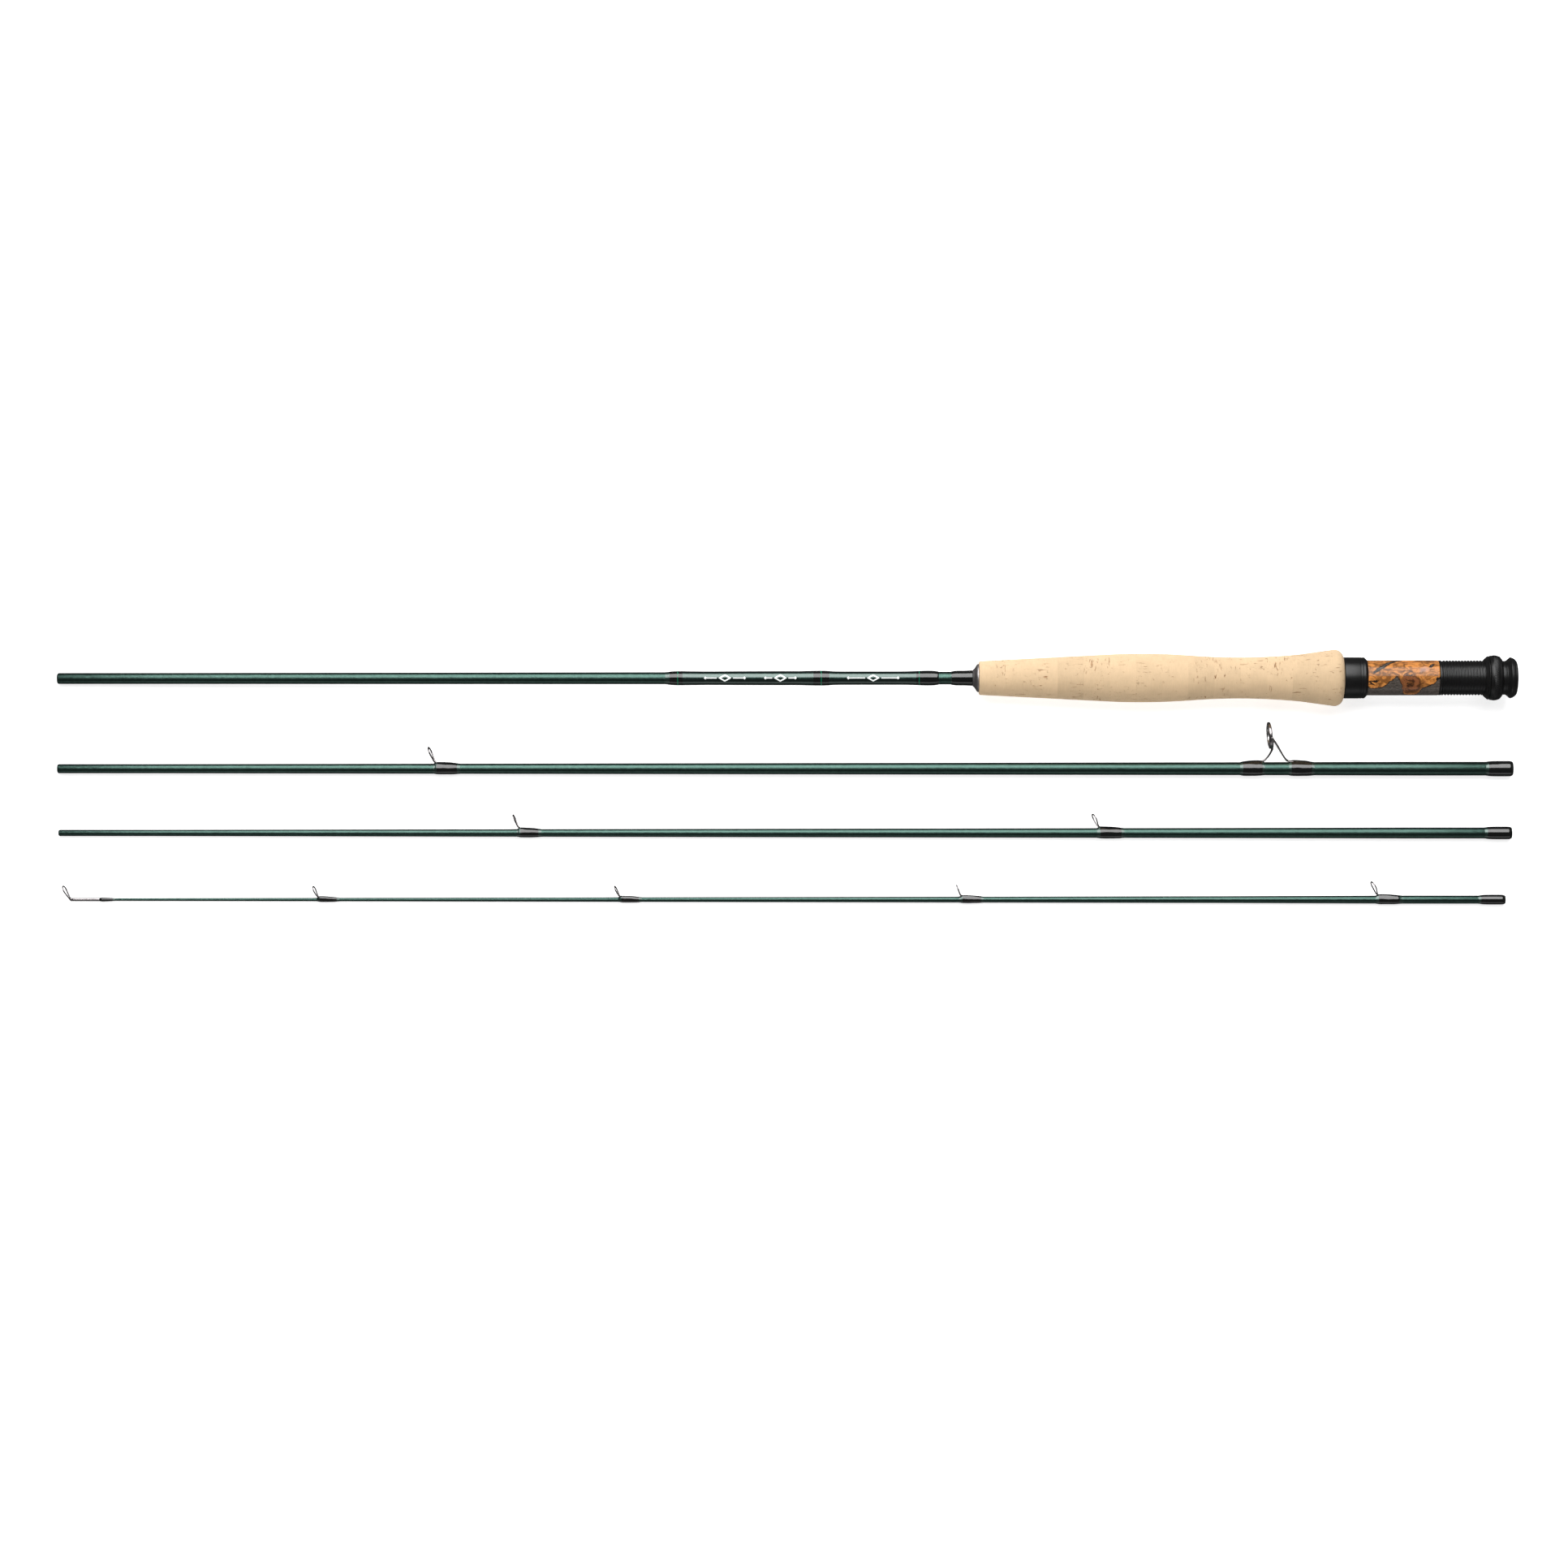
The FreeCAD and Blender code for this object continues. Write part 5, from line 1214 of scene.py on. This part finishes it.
class FLYROD_OT_tip_top(RodOperator, bpy.types.Operator):
    """Build the tip-top: its tube, its soldered loop and the wrap behind it"""

    bl_idname = "flyrod.tip_top"
    bl_label = "Tip-top"

    def build(self, context):
        start, end = TIP.span("tip_top_tube")
        outside = TIP.corners("tip_top_tube")
        full = max(radius for _, radius in outside)
        outline = [(start, 0.0), (start + 0.05, full * 0.55), (start + 0.3, full * 0.86),
                   (start + 0.8, full * 0.98), (start + 2.0, full * 0.97), (end - 3.0, full),
                   (end - 0.25, full), (end - 0.05, full - 0.06), (end, full - 0.14),
                   (end - 0.2, full - 0.16), (end - 0.4, 0.0)]
        bm = turned(outline, 32, closed=False)
        settle(bm, "tip_top_tube_drawn", TIP, guide_wire, "tip_top_tube", full)
        wire, loop, height, lean = 0.32, 2.3, 8.6, math.radians(26.0)
        base = -full * 0.6
        ring = [(start - 0.1 - up * math.sin(lean), across, base + up * math.cos(lean), 1.0)
                for across, up in pear(height, loop, wire, wire * 1.04)]
        tail = [(start + 0.45, full * 0.42, base + 0.15, 0.7),
                (start + 0.1, full * 0.42, base + 0.1, 0.9)]
        path = tail + ring + [(x, -y, z, share) for x, y, z, share in reversed(tail)]
        wire_loop = tube(softened(path, 1), wire)
        solder = bmesh.new()
        bmesh.ops.create_uvsphere(solder, u_segments=24, v_segments=16, radius=full * 0.98)
        bmesh.ops.scale(solder, vec=(0.95, 0.92, 1.05), verts=solder.verts)
        bmesh.ops.translate(solder, vec=(start + 0.12, 0, 0.05), verts=solder.verts)
        bm = gather(wire_loop, solder)
        settle(bm, "tip_top_loop", TIP, guide_wire, "tip_top_ring")
        node = "tip_top_wrap"
        start, end = TIP.span(node)
        under = TIP.corners("tip_blank")
        full_wrap = max(radius for _, radius in TIP.corners(node))
        outline = flowing([
            (start - 0.5, full + 0.01), (start + 0.3, full_wrap * 0.97),
            (start + 1.6, full_wrap), (start + 3.4, full_wrap * 0.93),
            (end - 1.4, between(under, end) + 0.14), (end - 0.4, between(under, end) + 0.05),
            (end + 0.5, between(under, end) + 0.012)], 0.25)
        bore = [(end + 0.5, between(under, end) + BORE_GAP), (start, between(under, start) + BORE_GAP),
                (start, full + BORE_GAP), (start - 0.5, full + BORE_GAP)]
        bm = turned(outline + bore, 32)
        cover(bm, "thread", lambda x, y, z: 1.0 if start - 0.2 < x < end - 0.7 else 0.0)
        settle(bm, node + "_epoxied", TIP, thread_wrap, node, full_wrap)


class FLYROD_OT_winding_check(RodOperator, bpy.types.Operator):
    """Build the flared metal check in front of the cork"""

    bl_idname = "flyrod.winding_check"
    bl_label = "Winding check"

    def build(self, context):
        start, end = BUTT.span("winding_check")
        outline = flowing([
            (start, 3.80), (start + 0.25, 4.15), (start + 0.9, 4.75), (start + 1.35, 5.35),
            (start + 1.7, 6.0), (start + 2.0, 6.5), (start + 2.3, 6.72)], 0.12)
        outline += eased([(start + 2.36, 6.74), (start + 2.36, 6.90), (end - 0.3, 7.02),
                          (end, 7.0), (end, 6.7)], 0.12)[1:]
        bm = hollow(BUTT, "winding_check", outline, 64)
        settle(bm, "winding_check_turned", BUTT, nickel, "winding_check", 6.0)


class FLYROD_OT_cork_grip(RodOperator, bpy.types.Operator):
    """Build the fourteen cork rings of the grip"""

    bl_idname = "flyrod.cork_grip"
    bl_label = "Cork grip"

    def build(self, context):
        nodes = sorted(name for name in frame["nodes"] if name.startswith("cork_ring_"))
        skin = {}
        for node in nodes:
            for x, radius in BUTT.corners(node):
                skin[x] = max(radius, skin.get(x, 0))
        skin = sorted(skin.items())
        for node in nodes:
            start, end = BUTT.span(node)
            inner = [point for point in skin if start + 0.02 < point[0] < end - 0.02]
            head = [(start, skin[0][1] if node == nodes[0] else between(skin, start))]
            tail = [(end, skin[-1][1] if node == nodes[-1] else between(skin, end))]
            outline = flowing(head + inner + tail, 1.2)
            bm = hollow(BUTT, node, outline, 72)
            settle(bm, node + "_turned", BUTT, cork, node, 11.0)


# The reel foot's pocket, the play of hood and nut on the barrel, the nut's mean radius at its
# knurl, how far the knurl leans, and the bore of the cap's plug.
POCKET_WIDTH, POCKET_WALL, POCKET_ROOT, POCKET_RISE = 9.4, 0.9, -6.0, 2.3
NUT_PLAY, NUT_RADIUS, KNURL_LEAN = 0.13, 11.2, 0.404
CAP_BORE = 4.05


def hood_pocket(shell, pad_range, space_range, floor, bore, hole_range):
    """Adds the reel foot's pocket under a hood, open at its end, and bores the hood."""
    half = POCKET_WIDTH / 2
    pad = brick(pad_range, (-half - POCKET_WALL, half + POCKET_WALL),
                (floor - POCKET_WALL, POCKET_ROOT), 0.45)
    body = combined(shell, pad, "UNION")
    space = brick(space_range, (-half, half), (floor, POCKET_ROOT))
    body = combined(body, space, "DIFFERENCE")
    start, end = hole_range
    hole = turned([(start, 0.0), (start, bore), (end, bore), (end, 0.0)], 96, closed=False)
    return combined(body, hole, "DIFFERENCE")


class FLYROD_OT_front_hood(RodOperator, bpy.types.Operator):
    """Build the fixed hood behind the cork, with its grooves and the reel foot's pocket"""

    bl_idname = "flyrod.front_hood"
    bl_label = "Front hood"

    def build(self, context):
        start, end = BUTT.span("front_hood")
        full = max(radius for x, radius in BUTT.corners("front_hood") if x < start + 1.5)
        insert = max(radius for _, radius in BUTT.corners("seat_insert"))
        floor = -(BUTT.corners("seat_barrel")[2][1] + POCKET_RISE)
        groove = 0.16
        front = offsets(start, full, (0, -0.45), (0.35, -0.08), (0.7, 0))
        rear = offsets(end, full, (-3.9, 0), (-3.8, -groove), (-3.6, -groove), (-3.5, -0.02),
                       (-2.7, -0.02), (-2.6, -groove), (-2.35, -groove), (-2.25, -0.04),
                       (-1.2, -0.05), (-0.25, -1.08), (0, -1.25))
        outline = eased([(start, 6.0), *front, *rear, (end, 6.0)], 0.07, 2)
        shell = turned(outline, 96)
        bm = hood_pocket(shell, (end - 9.8, end - 0.02), (end - 7.8, end + 1.0), floor,
                         insert + 0.02, (start - 1, end + 1))
        settle(bm, "front_hood_turned", BUTT, anodised, "front_hood", full, sharp=28.0)


class FLYROD_OT_seat_insert(RodOperator, bpy.types.Operator):
    """Build the burl sleeve between the hoods"""

    bl_idname = "flyrod.seat_insert"
    bl_label = "Burl insert"

    def build(self, context):
        start, end = BUTT.span("seat_insert")
        outside = BUTT.corners("seat_insert")
        full = outside[0][1]
        shoulder = BUTT.span("seat_barrel")[0] - 0.03
        spigot = outside[-1][1]
        outline = eased([(start, full - 0.25), (start + 0.3, full), (start + 6.0, full + 0.01),
                         (shoulder - 6.0, full + 0.01), (shoulder - 0.35, full),
                         (shoulder, full - 0.18), (shoulder, spigot), (end, spigot)], 0.12)
        bm = hollow(BUTT, "seat_insert", outline, 96)
        settle(bm, "seat_insert_burl", BUTT, burl, "seat_insert", full)
        arbors = frame["nodes"]["seat_arbors"]
        foam = finish(arbor_foam)
        for place in range(len(arbors.material_slots)):
            arbors.material_slots[place].material = foam


class FLYROD_OT_seat_barrel(RodOperator, bpy.types.Operator):
    """Build the barrel and its helical thread"""

    bl_idname = "flyrod.seat_barrel"
    bl_label = "Threaded barrel"

    def build(self, context):
        sizes = context.scene.rod_sizes
        start, end = BUTT.span("seat_barrel")
        crest = max(radius for _, radius in BUTT.corners("seat_barrel"))
        neck = BUTT.corners("seat_barrel")[-1][1]
        pitch, depth = sizes.screw_pitch / MM, sizes.screw_depth / MM
        root = crest - depth
        thread_start, thread_end = start + 1.7, end - 2.4
        outline = eased([
            (start, 7.6), (start, crest - 0.35), (start + 0.3, crest - 0.03),
            (thread_start - 0.5, crest - 0.02), (thread_start - 0.15, root),
            (thread_end + 0.2, root), (thread_end + 0.35, neck), (end, neck), (end, 7.6)],
            0.08, 2)
        core = hollow(BUTT, "seat_barrel", outline, 96)
        turns = (thread_end - thread_start) / pitch
        steps = 64
        screw = bmesh.new()
        profile = eased([(-0.30 * pitch, root - 0.06), (-0.20 * pitch, crest - 0.06),
                         (0.0, crest), (0.20 * pitch, crest - 0.06),
                         (0.30 * pitch, root - 0.06)], 0.12, 2)
        ring = [screw.verts.new((thread_start + x, 0, radius)) for x, radius in profile]
        edges = [screw.edges.new(pair) for pair in zip(ring, ring[1:] + ring[:1])]
        screw.faces.new(ring)
        count = int(turns * steps)
        made = bmesh.ops.spin(
            screw, geom=ring + edges, cent=(0, 0, 0), axis=(1, 0, 0),
            dvec=(pitch / steps, 0, 0), angle=math.tau * count / steps, steps=count,
            use_merge=False, use_duplicate=False)
        last = [item for item in made["geom_last"] if isinstance(item, bmesh.types.BMEdge)]
        bmesh.ops.contextual_create(screw, geom=last)
        bmesh.ops.recalc_face_normals(screw, faces=screw.faces)
        bm = gather(core, screw)
        settle(bm, "seat_barrel_threaded", BUTT, anodised, "seat_barrel", crest)


class FLYROD_OT_sliding_hood(RodOperator, bpy.types.Operator):
    """Build the hood that the lock nut pushes against the reel foot"""

    bl_idname = "flyrod.sliding_hood"
    bl_label = "Sliding hood"

    def build(self, context):
        pad_start, end = BUTT.span("sliding_hood")
        start = end - 2.1
        barrel = max(radius for _, radius in BUTT.corners("seat_barrel"))
        bore = barrel + NUT_PLAY
        floor = -(barrel + POCKET_RISE)
        front = offsets(start, bore, (0, 0.38), (0.15, 0.52), (0.75, 1.06), (0.86, 1.02),
                        (0.96, 1.20), (1.7, 1.86))
        rear = offsets(end, bore, (-0.12, 2.03), (0, 1.9))
        outline = eased([(start, 8.0), *front, *rear, (end, 8.0)], 0.08, 2)
        shell = turned(outline, 96)
        bm = hood_pocket(shell, (pad_start, end - 0.05), (pad_start - 1.0, pad_start + 3.4),
                         floor, bore, (pad_start - 1, end + 1))
        settle(bm, "sliding_hood_turned", BUTT, anodised, "sliding_hood", bore + 1,
               "sliding_hood_body", 28.0)


class FLYROD_OT_lock_nut(RodOperator, bpy.types.Operator):
    """Build the crowned lock nut and cut its diamond knurl"""

    bl_idname = "flyrod.lock_nut"
    bl_label = "Lock nut"

    def build(self, context):
        sizes = context.scene.rod_sizes
        start, end = BUTT.span("lock_nut")
        barrel = max(radius for _, radius in BUTT.corners("seat_barrel"))
        bore = barrel + NUT_PLAY
        teeth = sizes.knurl_teeth
        depth = sizes.knurl_depth / MM
        band = (start + 1.5, end - 1.45)
        rows = 14
        crown = []
        for k in range(rows + 1):
            t = k / rows
            crown.append((band[0] + (band[1] - band[0]) * t,
                          11.24 - 0.17 * t - 0.34 * (2 * t - 0.86) ** 2))
        lead = eased([(start, bore), (start, 10.35), (start + 0.22, 10.62), (start + 0.95, 11.0),
                      (start + 1.08, 10.94), (start + 1.22, 10.98), crown[0]], 0.06, 2)
        trail = eased([crown[-1], (end - 1.22, 10.60), (end - 1.02, 10.52), (end - 0.3, 9.62),
                       (end, 9.3), (end, bore)], 0.06, 2)
        bm = turned(lead[:-1] + crown + trail[1:], teeth * 4)
        for vert in bm.verts:
            x, y, z = vert.co
            radius = math.hypot(y, z)
            if radius < 10.3 or not band[0] + 0.05 < x < band[1] - 0.05:
                continue
            turn = math.atan2(y, z) * teeth
            slide = (x - band[0]) * KNURL_LEAN * teeth / NUT_RADIUS
            fade = min(1.0, (x - band[0]) * 3.0, (band[1] - x) * 3.0)
            cut = max(math.cos(turn + slide), 0.45 * math.cos(turn - slide), 0.0)
            scale = 1 - depth * cut * fade / radius
            vert.co.y = y * scale
            vert.co.z = z * scale
        settle(bm, "lock_nut_knurled", BUTT, anodised, "lock_nut", NUT_RADIUS,
               "lock_nut_body", 40.0)


class FLYROD_OT_butt_cap(RodOperator, bpy.types.Operator):
    """Build the end cap: its flange, the grooves in its dome and its flat end"""

    bl_idname = "flyrod.butt_cap"
    bl_label = "Butt cap"

    def build(self, context):
        start, end = BUTT.span("butt_cap")
        outside = BUTT.corners("butt_cap")
        plug = outside[0][1]
        face = BUTT.span("seat_barrel")[1] + 0.02
        flange = max(radius for _, radius in outside)
        dome = offsets(face, flange, (0, -1.72), (0.35, -1.62), (1.2, -0.95), (2.0, -0.22),
                       (2.25, -0.03), (2.55, 0), (2.95, -0.09), (3.05, -0.28), (3.25, -0.30),
                       (3.35, -0.22), (4.0, -0.56), (4.08, -0.76), (4.3, -0.84),
                       (4.42, -0.80), (5.3, -1.75))
        flat = offsets(end, flange, (-0.45, -2.7), (-0.15, -4.2), (0, -5.9), (-0.02, -7.4),
                       (-0.14, -7.6))
        outline = eased([(start, CAP_BORE), (start, plug), (face, plug), *dome, *flat,
                         (end - 0.14, 0.0)], 0.12, 2)
        outline += [(face - 6.6, 0.0), (face - 6.6, CAP_BORE)]
        bm = turned(outline, 96)
        bmesh.ops.remove_doubles(bm, verts=bm.verts, dist=1e-3)
        settle(bm, "butt_cap_turned", BUTT, anodised, "butt_cap", flange)


# ---------------------------------------------------------------- the studio


class FLYROD_OT_stage(RodOperator, bpy.types.Operator):
    """Set up the floor, the light and the camera straight above the rows"""

    bl_idname = "flyrod.stage"
    bl_label = "Studio"

    def build(self, context):
        scene = context.scene
        stage = scene.rod_stage
        low = CAD_BOX[0]
        bm = bmesh.new()
        bmesh.ops.create_grid(bm, x_segments=4, y_segments=4, size=6.0)
        bmesh.ops.translate(bm, vec=(0, 0, low.z - 0.0001), verts=bm.verts)
        mesh = bpy.data.meshes.new("floor")
        bm.to_mesh(mesh)
        bm.free()
        mesh.materials.append(finish(pale_floor))
        floor = bpy.data.objects.new("floor", mesh)
        scene.collection.objects.link(floor)
        floor.visible_glossy = False

        self.softbox("softbox", (0, 1.06, 1.10), (1.55, 1.75), stage.softbox)
        self.softbox("edge", (0, -2.0, 0.40), (2.6, 0.9), stage.softbox * 0.11)
        self.softbox("overhead", (0, -1.05, 1.15), (1.6, 1.6), stage.softbox * 0.30, False)

        world = bpy.data.worlds.new("room")
        world.use_nodes = True
        sky = world.node_tree.nodes["Background"]
        sky.inputs["Color"].default_value = (1, 1, 1, 1)
        sky.inputs["Strength"].default_value = stage.room
        scene.world = world

        camera = bpy.data.cameras.new("camera")
        camera.sensor_width = 36.0
        camera.lens = camera.sensor_width * stage.height / stage.field
        camera.dof.use_dof = False
        camera.clip_end = 20.0
        eye = bpy.data.objects.new("camera", camera)
        eye.location = (-0.0005, -0.00323, stage.height + 0.008)
        scene.collection.objects.link(eye)
        scene.camera = eye
        scene.view_settings.view_transform = "Standard"

    @staticmethod
    def softbox(name, place, size, power, mirrored=True):
        """A rectangular light that faces the middle of the rows."""
        lamp = bpy.data.lights.new(name, "AREA")
        lamp.shape = "RECTANGLE"
        lamp.size, lamp.size_y = size
        lamp.energy = power
        box = bpy.data.objects.new(name, lamp)
        box.location = place
        box.rotation_euler = (-Vector(place)).to_track_quat("-Z", "Y").to_euler()
        box.visible_camera = False
        box.visible_glossy = mirrored
        bpy.context.scene.collection.objects.link(box)


# ---------------------------------------------------------------- the panel


OPERATORS = (
    FLYROD_OT_stage, FLYROD_OT_blanks, FLYROD_OT_label, FLYROD_OT_ferrule_wraps,
    FLYROD_OT_wire_guides, FLYROD_OT_stripping_guide, FLYROD_OT_tip_top,
    FLYROD_OT_winding_check, FLYROD_OT_cork_grip, FLYROD_OT_front_hood,
    FLYROD_OT_seat_insert, FLYROD_OT_seat_barrel, FLYROD_OT_sliding_hood,
    FLYROD_OT_lock_nut, FLYROD_OT_butt_cap)


class FLYROD_PT_panel(bpy.types.Panel):
    """Lists the rod's pieces, sizes and colours"""

    bl_idname = "FLYROD_PT_panel"
    bl_label = "Fly Rod"
    bl_space_type = "VIEW_3D"
    bl_region_type = "UI"
    bl_category = "Fly Rod"

    def draw(self, context):
        for operator in OPERATORS:
            self.layout.operator(operator.bl_idname)
        for group in (context.scene.rod_sizes, context.scene.rod_colours,
                      context.scene.rod_stage):
            box = self.layout.box()
            for name in group.__annotations__:
                box.prop(group, name)


CLASSES = (RodSizes, RodColours, RodStage, *OPERATORS, FLYROD_PT_panel)


def register():
    for cls in CLASSES:
        bpy.utils.register_class(cls)
    bpy.types.Scene.rod_sizes = bpy.props.PointerProperty(type=RodSizes)
    bpy.types.Scene.rod_colours = bpy.props.PointerProperty(type=RodColours)
    bpy.types.Scene.rod_stage = bpy.props.PointerProperty(type=RodStage)


def unregister():
    del bpy.types.Scene.rod_stage
    del bpy.types.Scene.rod_colours
    del bpy.types.Scene.rod_sizes
    for cls in reversed(CLASSES):
        bpy.utils.unregister_class(cls)


def main():
    """Build everything in order."""
    register()
    for operator in OPERATORS:
        group, name = operator.bl_idname.split(".")
        getattr(getattr(bpy.ops, group), name)()


if __name__ == "__main__":
    main()
